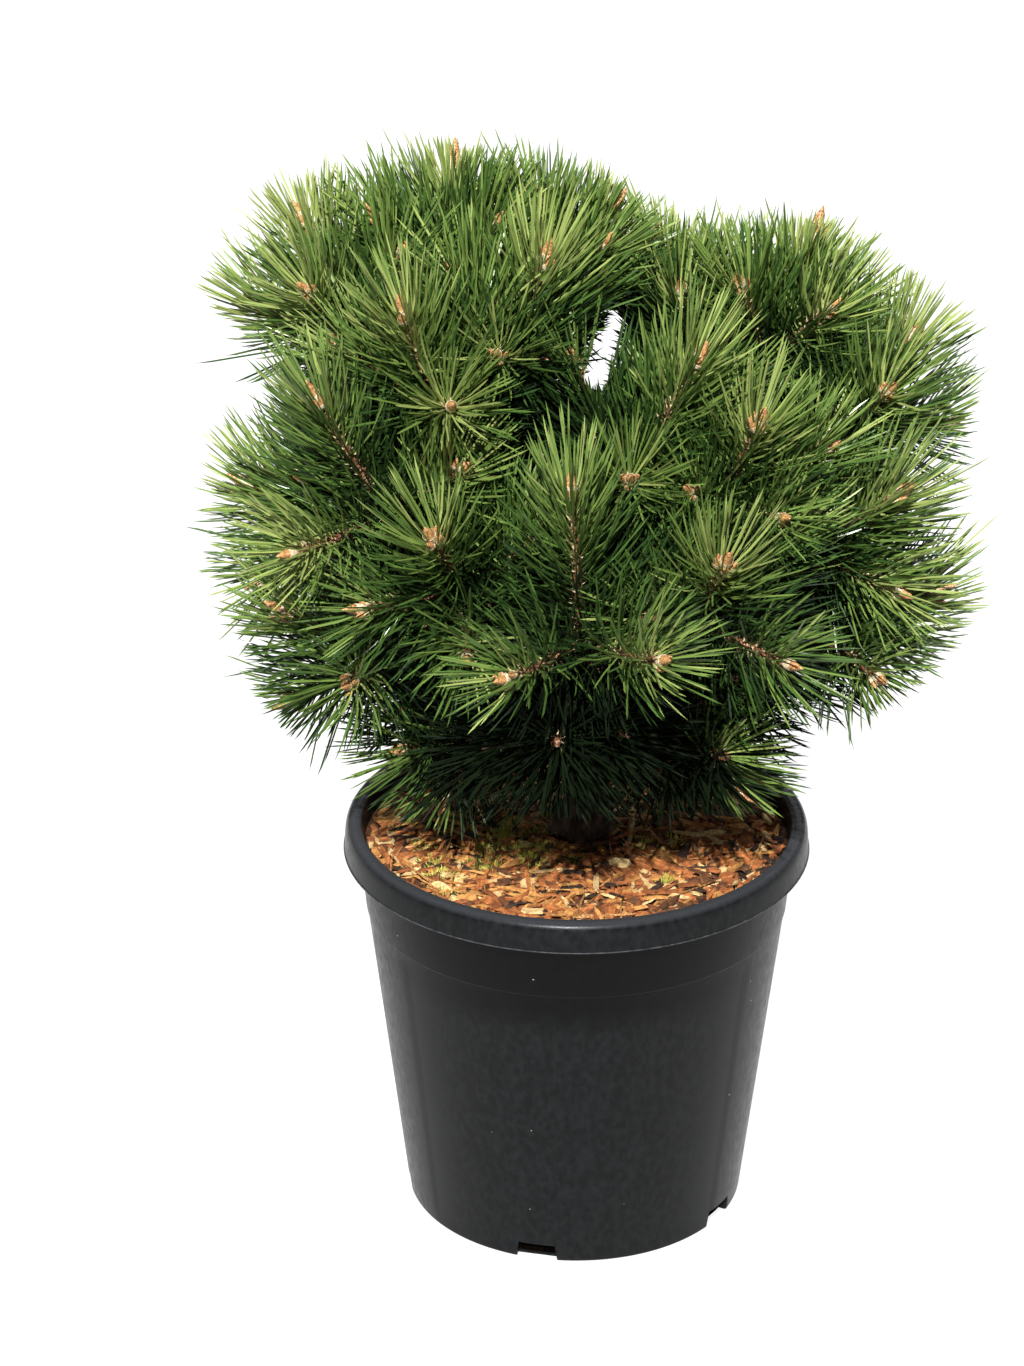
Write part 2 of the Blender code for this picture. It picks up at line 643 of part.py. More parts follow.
def make_boughs(curves):
    """Each bough from the skin of its parent to where its mass starts."""
    for name, row in MASSES.items():
        parent, fraction = row[0], row[1]
        length = np.linalg.norm(curves[name][2] - curves[name][0])
        end = meeting_fraction(name)
        start = LEADING_BOUGH_GAP / length if fraction >= 1.0 else 0.0
        rows, sides = BRANCHED_BOUGH if masses_fed(name) > 1 else PLAIN_BOUGH
        bough = limb_tube("bough_" + name, name, curves[name], start, end, rows, sides)
        if fraction < 1.0:
            if parent == "trunk":
                cutter = make_trunk(curves["trunk"], "cutter", CUT_CLEARANCE)
            else:
                meets = meeting_fraction(parent)
                rows, sides = CUTTER_BOUGH
                cutter = limb_tube("cutter", parent, curves[parent], 0.0, meets, rows, sides, CUT_CLEARANCE)
            bough.data = apply_boolean(bough, "DIFFERENCE", "EXACT", other=cutter)
            bpy.data.objects.remove(cutter)
        give_finish(bough, "bark")


# Masses
class Room:
    """Where a mass may grow: nearer its own shoot than any other, clear of limbs and of the pot."""

    def __init__(self, curves, shoots):
        self.shoots = shoots
        self.pieces = [polyline(curve, CELL_PIECES) for _, curve in shoots]
        self.stems = {}
        for name in MASSES:
            self.stems[name] = polyline(curves[name], SHOOT_PIECES, meeting_fraction(name))
        starts, ends, reach = [], [], []
        for name, curve in curves.items():
            last = 1.0 if name == "trunk" else meeting_fraction(name)
            a, b = polyline(curve, LIMB_PIECES, 0.0, last)
            starts.append(a)
            ends.append(b)
            reach.append(limb_radius(name, np.linspace(0.0, last, LIMB_PIECES)))
        self.limbs = (np.concatenate(starts), np.concatenate(ends), np.concatenate(reach))

    def free(self, index, points):
        """For each set of points, whether all of them are in this shoot's own space."""
        sets, count = points.shape[:2]
        flat = points.reshape(-1, 3)
        own = segment_distance(flat, *self.pieces[index]).min(axis=1)
        allowed = np.ones(len(flat), bool)
        name = self.shoots[index][0]
        centre = flat.mean(axis=0)
        for other, (starts, ends) in enumerate(self.pieces):
            near = np.linalg.norm(starts[0] - centre) < NEAR_SHOOTS
            if other != index and near:
                away = segment_distance(flat, starts, ends).min(axis=1)
                allowed &= away - own > CELL_MARGIN
        for mass, (starts, ends) in self.stems.items():
            away = segment_distance(flat, starts, ends).min(axis=1)
            if mass == name:
                allowed &= away > TWIG_RADIUS + LIMB_MARGIN
            else:
                allowed &= away - own > CELL_MARGIN + TWIG_RADIUS
        starts, ends, reach = self.limbs
        allowed &= (segment_distance(flat, starts, ends) - reach).min(axis=1) > LIMB_MARGIN
        radius = np.linalg.norm(flat[:, :2], axis=1)
        allowed &= (flat[:, 2] > GROUND_HEIGHT) | (radius > GROUND_RADIUS)
        allowed &= ~in_sky_gap(flat)
        return allowed.reshape(sets, count).all(axis=1)


def make_shoot(index, curve, room):
    """A slim core with a bud at its tip, whose facets are drawn out into needles where there is room."""
    rng = np.random.default_rng(SEED * 1000 + index)
    length = np.linalg.norm(curve[2] - curve[0])
    leafy_end = 1.0 - BUD_LENGTH / length
    rings = max(FEWEST_RINGS, round(leafy_end * length / RING_SPACING)) + 1
    t = np.linspace(0.0, leafy_end, rings)
    swell = 1.0 - BUD_WIDEST * BUD_LENGTH / length
    t = np.concatenate([t, [swell]])
    radii = SHOOT_RADIUS + (SHOOT_TIP_RADIUS - SHOOT_RADIUS) * t
    radii[-1] = BUD_RADIUS
    centres = curve_points(curve, t)
    tangents = curve_tangents(curve, t)
    firsts, seconds = side_vectors(tangents)
    turn = rng.uniform(0, 2 * math.pi)
    points = []
    for row in range(len(t)):
        around = turn + 2 * math.pi * (np.arange(SHOOT_SIDES) + 0.5 * row) / SHOOT_SIDES
        ring = np.outer(np.cos(around), firsts[row]) + np.outer(np.sin(around), seconds[row])
        points.extend(centres[row] + ring * radii[row])
    points.append(curve[2])
    faces = [tuple(range(SHOOT_SIDES))[::-1]]
    leafy = []
    for row in range(len(t) - 1):
        for k in range(SHOOT_SIDES):
            a = row * SHOOT_SIDES + k
            b = row * SHOOT_SIDES + (k + 1) % SHOOT_SIDES
            up = [(a, b, a + SHOOT_SIDES), (b, b + SHOOT_SIDES, a + SHOOT_SIDES)]
            if row < rings - 1:
                leafy.append((up[0], row + FACET_ROWS[0]))
                leafy.append((up[1], row + FACET_ROWS[1]))
            else:
                faces.extend(up)
    last = (len(t) - 1) * SHOOT_SIDES
    for k in range(SHOOT_SIDES):
        faces.append((last + k, last + (k + 1) % SHOOT_SIDES, len(points) - 1))
    points = list(points)
    base = np.array([[points[c] for c in corners] for corners, _ in leafy])
    middle = base.mean(axis=1)
    share = np.array([row for _, row in leafy]) / (rings - 1)
    tangent = curve_tangents(curve, share * leafy_end)
    outward = middle - curve_points(curve, share * leafy_end)
    outward = unit(outward - tangent * (outward * tangent).sum(axis=1, keepdims=True))
    pitch = np.radians(NEEDLE_PITCH_LOW + (NEEDLE_PITCH_HIGH - NEEDLE_PITCH_LOW) * share**NEEDLE_PITCH_POWER)
    aim = tangent * np.cos(pitch)[:, None] + outward * np.sin(pitch)[:, None]
    vigour = rng.uniform(NEEDLE_LEAST_SHARE, 1.0, len(leafy))
    reach = NEEDLE_LENGTH * vigour * (1.0 - NEEDLE_TIP_LOSS * share**2)
    size = np.zeros(len(leafy))
    u = NEEDLE_PLACES[None, :, None]
    for part in NEEDLE_TRIALS:
        trial = np.where(size == 0, reach * part, 0.0)
        todo = np.nonzero((size == 0) & (trial > NEEDLE_SHORTEST))[0]
        if not len(todo):
            continue
        apex = middle[todo] + aim[todo] * trial[todo, None]
        edges = [base[todo, c][:, None] * (1 - u) + apex[:, None] * u for c in range(3)]
        good = room.free(index, np.concatenate(edges, axis=1))
        size[todo[good]] = trial[todo[good]]
    for (corners, _), centre, way, reach_now in zip(leafy, middle, aim, size):
        if reach_now == 0:
            faces.append(corners)
            continue
        points.append(centre + way * reach_now)
        tip = len(points) - 1
        a, b, c = corners
        faces.extend([(a, b, tip), (b, c, tip), (c, a, tip)])
    return new_mesh_object("shoot", points, faces)


def make_masses(curves, shoots):
    """Each mass: its stem and its shoots, joined as one body."""
    room = Room(curves, shoots)
    for name in MASSES:
        length = np.linalg.norm(curves[name][2] - curves[name][0])
        start = meeting_fraction(name) + STEM_GAP / length
        pieces = [stem_tube(name, curves[name], start)]
        for index, (owner, curve) in enumerate(shoots):
            if owner == name:
                pieces.append(make_shoot(index, curve, room))
        give_finish(join_pieces("needles_" + name, pieces), "needles")


def main():
    """Clear the scene and build the plant."""
    for obj in list(bpy.data.objects):
        bpy.data.objects.remove(obj)
    make_pot()
    make_soil()
    make_mulch()
    curves = limb_curves()
    give_finish(make_trunk(curves["trunk"]), "bark")
    make_boughs(curves)
    make_masses(curves, grow_shoots(curves))


if __name__ == "__main__":
    main()
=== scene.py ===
"""Looks for a mugo pine in its black nursery pot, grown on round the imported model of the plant.

Lengths are in metres and +Z is up. The origin is the centre of the pot's underside, and the
side of the plant that faces the viewer is -Y. The needles, twigs and buds follow the same
growth rule as the solids, carried to finer twigs.
"""

from __future__ import annotations

import itertools
import json
import logging
import math
from dataclasses import dataclass, field
from enum import Enum

import bpy
import numpy as np
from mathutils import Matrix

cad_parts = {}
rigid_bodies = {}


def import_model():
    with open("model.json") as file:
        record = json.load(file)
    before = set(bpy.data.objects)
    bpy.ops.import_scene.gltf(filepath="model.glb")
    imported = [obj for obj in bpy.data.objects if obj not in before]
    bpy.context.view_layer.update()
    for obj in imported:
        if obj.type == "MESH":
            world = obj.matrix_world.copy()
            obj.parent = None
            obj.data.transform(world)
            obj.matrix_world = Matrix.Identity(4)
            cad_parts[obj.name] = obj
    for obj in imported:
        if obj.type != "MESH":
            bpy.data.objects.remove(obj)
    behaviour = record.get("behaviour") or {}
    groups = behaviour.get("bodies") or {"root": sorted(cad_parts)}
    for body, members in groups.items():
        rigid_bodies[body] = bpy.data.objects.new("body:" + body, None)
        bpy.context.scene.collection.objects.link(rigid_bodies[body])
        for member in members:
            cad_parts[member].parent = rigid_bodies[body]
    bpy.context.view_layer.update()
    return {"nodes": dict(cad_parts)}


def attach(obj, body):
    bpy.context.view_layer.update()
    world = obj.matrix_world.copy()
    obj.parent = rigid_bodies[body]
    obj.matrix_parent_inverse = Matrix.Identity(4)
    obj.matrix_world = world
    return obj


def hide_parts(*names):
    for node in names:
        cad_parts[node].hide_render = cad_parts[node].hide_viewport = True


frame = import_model()

log = logging.getLogger("mugo_pine")
Array = np.ndarray
Curve = tuple[Array, Array, Array]
Material = bpy.types.Material
Socket = bpy.types.NodeSocket
Stops = list[tuple[float, str]]

CM = 0.01
MM = 0.001
BODY = "root"
SEED = 7
GOLDEN_ANGLE = math.radians(137.508)
SHADER = "Principled BSDF"

# How far a unit vector may lie along an axis that side vectors are taken from
CLOSE_TO_X = 0.8
CLOSE_TO_Z = 0.9

# Whole numbers that scatter a lattice corner's x, y, z and seed, and the largest hashed value
HASH_STEPS = (73856093, 19349663, 83492791, 26544357)
HASH_MIXER = 1274126177
HASH_TOP = 0x7FFFFFFF


# Curves and fields
def unit(v: Array) -> Array:
    """The vectors of an array, each one metre long."""
    return v / np.linalg.norm(v, axis=-1, keepdims=True)


def smooth_step(x: Array) -> Array:
    """0 below 0, 1 above 1, and 3x^2 - 2x^3 between."""
    x = np.clip(x, 0.0, 1.0)
    return x * x * (3.0 - 2.0 * x)


def curve_points(curve: Curve, t: Array) -> Array:
    """Points along a three-point Bezier curve: (1-t)^2 start + 2t(1-t) bend + t^2 end.

    Args:
        curve: its start, bend and end.
        t: n fractions from 0 to 1.

    Returns:
        n by 3 points.
    """
    start, bend, end = curve
    t = np.asarray(t, float)[:, None]
    return (1 - t) ** 2 * start + 2 * t * (1 - t) * bend + t**2 * end


def curve_tangents(curve: Curve, t: Array) -> Array:
    """Unit directions of travel: (1-t) (bend - start) + t (end - bend), made one metre long.

    Args:
        curve: its start, bend and end.
        t: n fractions from 0 to 1.

    Returns:
        n by 3 unit vectors.
    """
    start, bend, end = curve
    t = np.asarray(t, float)[:, None]
    return unit((1 - t) * (bend - start) + t * (end - bend))


def direction(azimuth: float, elevation: float) -> Array:
    """The unit vector with this azimuth from +X and elevation above level, in degrees.

    Args:
        azimuth: degrees round from +X.
        elevation: degrees above level.

    Returns:
        Its x, y and z.
    """
    a = math.radians(azimuth)
    e = math.radians(elevation)
    return np.array([math.cos(a) * math.cos(e), math.sin(a) * math.cos(e), math.sin(e)])


def side_vectors(tangents: Array) -> tuple[Array, Array]:
    """Two unit vectors square to each tangent, carried along the path without twist.

    Args:
        tangents: unit directions along a path, n by 3.

    Returns:
        The first and the second side vector at each point, n by 3 each.
    """
    reference = np.array([1.0, 0.0, 0.0])
    if abs(tangents[0][0]) > CLOSE_TO_X:
        reference = np.array([0.0, 1.0, 0.0])
    first = unit(np.cross(reference, tangents[0]))
    firsts = []
    for tangent in tangents:
        first = unit(first - tangent * np.dot(first, tangent))
        firsts.append(first)
    stacked = np.array(firsts)
    return stacked, np.cross(tangents, stacked)


def segment_distance(points: Array, starts: Array, ends: Array) -> Array:
    """Distances from n points to m segments, as an n by m array.

    Args:
        points: n by 3 points.
        starts: m by 3 starts of segments.
        ends: m by 3 ends.

    Returns:
        n by m distances.
    """
    along = ends - starts
    offset = points[:, None, :] - starts[None]
    t = np.einsum("nmk,mk->nm", offset, along) / np.einsum("mk,mk->m", along, along)
    t = np.clip(t, 0.0, 1.0)
    return np.linalg.norm(offset - t[..., None] * along[None], axis=2)


def polyline(curve: Curve, pieces: int, start: float = 0.0, end: float = 1.0) -> tuple[Array, Array]:
    """The start and end points of the straight pieces that follow a curve."""
    points = curve_points(curve, np.linspace(start, end, pieces + 1))
    return points[:-1], points[1:]


def value_noise(points: Array, cell: float, seed: int) -> Array:
    """A smooth random field from -1 to 1.

    Each corner of a lattice of cells has a hashed value, and a point blends its cell's eight
    corners by the smooth step of its place in the cell along each axis.

    Args:
        points: n by 3 places.
        cell: the lattice spacing.
        seed: picks another field.

    Returns:
        n values.
    """
    scaled = points / cell
    base = np.floor(scaled).astype(np.int64)
    blend = smooth_step(scaled - base)
    total = np.zeros(len(points))
    for corner in itertools.product((0, 1), repeat=3):
        at = base + np.array(corner)
        scattered = at * np.array(HASH_STEPS[:3])
        mixed = scattered[:, 0] ^ scattered[:, 1] ^ scattered[:, 2] ^ (seed * HASH_STEPS[3])
        mixed = ((mixed ^ (mixed >> 13)) * HASH_MIXER) & HASH_TOP
        weight = np.prod(np.where(corner, blend, 1.0 - blend), axis=1)
        total += (mixed / (HASH_TOP // 2) - 1.0) * weight
    return total


# Meshes
@dataclass
class Shape:
    """Points and triangles of a closed mesh, in metres."""

    points: Array
    triangles: Array

    @staticmethod
    def joined(shapes: list[Shape]) -> Shape:
        """One shape that holds all of these, with the triangles renumbered.

        Args:
            shapes: the shapes, in order.

        Returns:
            The joined shape.
        """
        counts = [len(shape.points) for shape in shapes]
        offsets = np.concatenate([[0], np.cumsum(counts)[:-1]])
        triangles = [shape.triangles + offset for shape, offset in zip(shapes, offsets)]
        return Shape(np.concatenate([shape.points for shape in shapes]), np.concatenate(triangles))


def quads_to_triangles(quads: Array) -> Array:
    """Two triangles for each quad."""
    return np.concatenate([quads[:, [0, 1, 2]], quads[:, [0, 2, 3]]])


def closed_grid(rings: Array, first_pole: Array, last_pole: Array) -> Shape:
    """A closed skin over a stack of rings, with a fan of triangles from a pole at each end.

    Args:
        rings: rows by columns by 3 points. Seen from outside, the columns run to the right
            as the rows run upwards.
        first_pole: the point that closes the first row.
        last_pole: the point that closes the last row.

    Returns:
        The skin, its faces outwards.
    """
    rows, columns = rings.shape[:2]
    index = np.arange(rows * columns).reshape(rows, columns)
    after = np.roll(index, -1, axis=1)
    quads = np.stack([index[:-1], after[:-1], after[1:], index[1:]], axis=-1).reshape(-1, 4)
    low, high = rows * columns, rows * columns + 1
    low_fan = np.stack([np.full(columns, low), after[0], index[0]], axis=-1)
    high_fan = np.stack([np.full(columns, high), index[-1], after[-1]], axis=-1)
    points = np.concatenate([rings.reshape(-1, 3), first_pole[None], last_pole[None]])
    return Shape(points, np.concatenate([quads_to_triangles(quads), low_fan, high_fan]))


def tube(centres: Array, tangents: Array, radii: Array) -> Shape:
    """A closed tube along a path: each ring is its centre plus radius times a turned side vector.

    Args:
        centres: n by 3 path points.
        tangents: n by 3 unit directions.
        radii: n by sides radii, so relief may vary round the ring.

    Returns:
        The tube with pole-fan ends.
    """
    firsts, seconds = side_vectors(tangents)
    around = 2 * math.pi * np.arange(radii.shape[1]) / radii.shape[1]
    c, s = np.cos(around)[None, :, None], np.sin(around)[None, :, None]
    spokes = c * firsts[:, None] + s * seconds[:, None]
    rings = centres[:, None] + spokes * radii[..., None]
    return closed_grid(rings, centres[0], centres[-1])


def placed_copies(
    template: Shape,
    origins: Array,
    frames: Array,
    sizes: Array,
    jitter: Array | None = None,
) -> Shape:
    """Many copies of one small shape, as whole arrays.

    Args:
        template: the shape, about one unit in size.
        origins: n by 3 places.
        frames: n by 3 by 3, whose rows are where the shape's x, y and z point.
        sizes: n by 3 scales along the shape's own axes.
        jitter: optional n by points by 3 offsets in the shape's own units.

    Returns:
        All the copies as one shape.
    """
    local = np.broadcast_to(template.points, (len(origins), *template.points.shape))
    if jitter is not None:
        local = local + jitter
    world = np.einsum("npk,nkj->npj", local * sizes[:, None], frames) + origins[:, None]
    offsets = np.arange(len(origins))[:, None, None] * len(template.points)
    return Shape(world.reshape(-1, 3), (template.triangles[None] + offsets).reshape(-1, 3))


def frames_along(aims: Array, turns: Array) -> Array:
    """Frames whose z points along each aim, turned about it by an angle.

    Args:
        aims: n by 3 unit vectors.
        turns: n angles in radians.

    Returns:
        n by 3 by 3, with rows x, y and z.
    """
    steep = np.abs(aims[:, 2:3]) > CLOSE_TO_Z
    reference = np.where(steep, np.array([1.0, 0.0, 0.0]), np.array([0.0, 0.0, 1.0]))
    side = unit(np.cross(reference, aims))
    other = np.cross(aims, side)
    c, s = np.cos(turns)[:, None], np.sin(turns)[:, None]
    return np.stack([side * c + other * s, other * c - side * s, aims], axis=1)


def spike() -> Shape:
    """A three-sided spike: a foot with corners one unit from the axis, and a point one unit up.

    Returns:
        The spike, with four points and four triangles.
    """
    around = 2 * math.pi * np.arange(3) / 3
    ring = np.stack([np.cos(around), np.sin(around), np.zeros(3)], axis=1)
    faces = np.array([(2, 1, 0), (0, 1, 3), (1, 2, 3), (2, 0, 3)])
    return Shape(np.concatenate([ring, [[0.0, 0.0, 1.0]]]), faces)


def add_piece(
    name: str,
    shape: Shape,
    material: Material,
    stands_for: list[str],
    smooth: bool = True,
) -> bpy.types.Object:
    """Put a shape into the scene as a piece of the plant.

    Args:
        name: the piece's name.
        shape: its mesh.
        material: its finish.
        stands_for: the solids that it replaces.
        smooth: whether it is shaded smooth.

    Returns:
        The object, at the origin, riding on the plant's one body.
    """
    mesh = bpy.data.meshes.new(name)
    count = len(shape.triangles)
    mesh.vertices.add(len(shape.points))
    mesh.vertices.foreach_set("co", shape.points.astype(np.float32).ravel())
    mesh.loops.add(count * 3)
    mesh.loops.foreach_set("vertex_index", shape.triangles.astype(np.int32).ravel())
    mesh.polygons.add(count)
    mesh.polygons.foreach_set("loop_start", np.arange(0, count * 3, 3, dtype=np.int32))
    mesh.polygons.foreach_set("use_smooth", np.full(count, smooth))
    mesh.materials.append(material)
    mesh.update(calc_edges=True)
    piece = bpy.data.objects.new(name, mesh)
    bpy.context.scene.collection.objects.link(piece)
    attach(piece, BODY)
    if stands_for:
        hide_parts(*stands_for)
    log.info("%s: %d triangles", name, count)
    return piece


# Finishes
def srgb(code: str) -> tuple[float, float, float, float]:
    """An sRGB hex colour as linear light with full alpha.

    Args:
        code: six hex digits.

    Returns:
        Red, green, blue and alpha.
    """
    channels = [int(code[i : i + 2], 16) / 255 for i in (0, 2, 4)]
    light = [c / 12.92 if c <= 0.04045 else ((c + 0.055) / 1.055) ** 2.4 for c in channels]
    return (*light, 1.0)


def add_node(
    material: Material,
    kind: str,
    settings: dict | None = None,
    links: dict | None = None,
    stops: Stops | None = None,
) -> bpy.types.Node:
    """Add one node to a material, set it and link it.

    Args:
        material: the material whose tree gets the node.
        kind: the node's type.
        settings: socket names or numbers, or property names, with their values.
        links: input socket names or numbers, with the output sockets that feed them.
        stops: where the node is a colour ramp, its positions with their sRGB hex colours.

    Returns:
        The node.
    """
    node = material.node_tree.nodes.new(kind)
    for key, value in (settings or {}).items():
        if isinstance(key, int) or key in node.inputs:
            node.inputs[key].default_value = value
        else:
            setattr(node, key, value)
    for key, source in (links or {}).items():
        material.node_tree.links.new(source, node.inputs[key])
    if stops:
        elements = node.color_ramp.elements
        while len(elements) < len(stops):
            elements.new(0.5)
        for element, (position, code) in zip(elements, stops):
            element.position = position
            element.color = srgb(code)
    return node


def grain_pattern(
    material: Material,
    size: float,
    detail: float,
    stretch: tuple = (1.0, 1.0, 1.0),
) -> Socket:
    """Noise over Object coordinates whose features are about this many metres wide.

    Args:
        material: the material.
        size: how wide a feature is, in metres.
        detail: how many finer layers it has.
        stretch: scales of the coordinates along x, y and z.

    Returns:
        The noise's socket, which runs from 0 to 1.
    """
    place = add_node(material, "ShaderNodeTexCoord").outputs["Object"]
    mapped = add_node(material, "ShaderNodeMapping", {"Scale": stretch}, {"Vector": place})
    settings = {"Scale": 1.0 / size, "Detail": detail}
    links = {"Vector": mapped.outputs["Vector"]}
    return add_node(material, "ShaderNodeTexNoise", settings, links).outputs["Fac"]


def new_surface(name: str, settings: dict) -> Material:
    """A node material of this name with its Principled shader set.

    Args:
        name: the material's name.
        settings: Principled socket names with their values.

    Returns:
        The material.
    """
    material = bpy.data.materials.new(name)
    material.use_nodes = True
    for key, value in settings.items():
        material.node_tree.nodes[SHADER].inputs[key].default_value = value
    return material


def dress(
    material: Material,
    pattern: Socket,
    stops: Stops,
    relief: Socket | None = None,
    depth: float = 0.0,
) -> Material:
    """Colour a surface along a pattern, and let a relief stand in its normal.

    Args:
        material: the material.
        pattern: a socket from 0 to 1.
        stops: the pattern's values with the sRGB hex colours that it takes there.
        relief: a socket whose 0 to 1 stands this deep.
        depth: the relief's depth in metres.

    Returns:
        The same material.
    """
    links, shader = material.node_tree.links, material.node_tree.nodes[SHADER]
    ramp = add_node(material, "ShaderNodeValToRGB", links={"Fac": pattern}, stops=stops)
    links.new(ramp.outputs["Color"], shader.inputs["Base Color"])
    if relief is not None:
        settings = {"Strength": 1.0, "Distance": depth}
        bump = add_node(material, "ShaderNodeBump", settings, {"Height": relief})
        links.new(bump.outputs["Normal"], shader.inputs["Normal"])
    return material


@dataclass(frozen=True)
class NeedleCuticle:
    """Pine needle with its waxy cuticle: a plain green for each tone, with a narrow soft gloss."""

    tone: str
    colour: str
    roughness: float
    gloss: float

    def material(self) -> Material:
        """The finish as a material.

        Returns:
            The material.
        """
        settings = {"Base Color": srgb(self.colour), "Roughness": self.roughness, "IOR": 1.45}
        settings["Specular IOR Level"] = self.gloss
        return new_surface("needle_cuticle_" + self.tone, settings)


@dataclass(frozen=True)
class ScalyBark:
    """Rough pine bark: grey-brown plates 6 mm across over darker red-brown cracks, quite matt."""

    name: str = "scaly_pine_bark"
    crack: str = "1A110C"
    plate: str = "42322A"
    weathered: str = "6B5A4C"
    plate_size: float = 6.0 * MM
    crack_depth: float = 0.6 * MM

    def material(self) -> Material:
        """The finish as a material.

        Returns:
            The material.
        """
        material = new_surface(self.name, {"Roughness": 0.9, "IOR": 1.5})
        plates = grain_pattern(material, self.plate_size, 5.0, (1.0, 1.0, 0.5))
        stops = [(0.36, self.crack), (0.5, self.plate), (0.68, self.weathered)]
        relief = grain_pattern(material, self.plate_size / 3, 4.0)
        return dress(material, plates, stops, relief, self.crack_depth)


@dataclass(frozen=True)
class YoungBark:
    """Bark of this year's and last year's shoots: red-brown, flecked with dry scale tips 1.5 mm wide."""

    name: str = "young_shoot_bark"
    dark: str = "3A2117"
    warm: str = "7C4B2E"
    fleck: str = "C9B08C"
    fleck_size: float = 1.5 * MM
    fleck_depth: float = 0.5 * MM

    def material(self) -> Material:
        """The finish as a material.

        Returns:
            The material.
        """
        material = new_surface(self.name, {"Roughness": 0.75, "IOR": 1.5})
        flecks = grain_pattern(material, self.fleck_size, 3.0)
        stops = [(0.35, self.dark), (0.5, self.warm), (0.57, self.warm), (0.66, self.fleck)]
        return dress(material, flecks, stops, flecks, self.fleck_depth)


@dataclass(frozen=True)
class DryScale:
    """Papery or resinous scales of buds and needle sheaths: fine streaks along a base colour."""

    name: str
    dark: str
    light: str
    roughness: float
    streak: float = 1.2 * MM

    def material(self) -> Material:
        """The finish as a material.

        Returns:
            The material.
        """
        material = new_surface(self.name, {"Roughness": self.roughness, "IOR": 1.5})
        streaks = grain_pattern(material, self.streak, 2.0)
        return dress(material, streaks, [(0.38, self.dark), (0.6, self.light)])


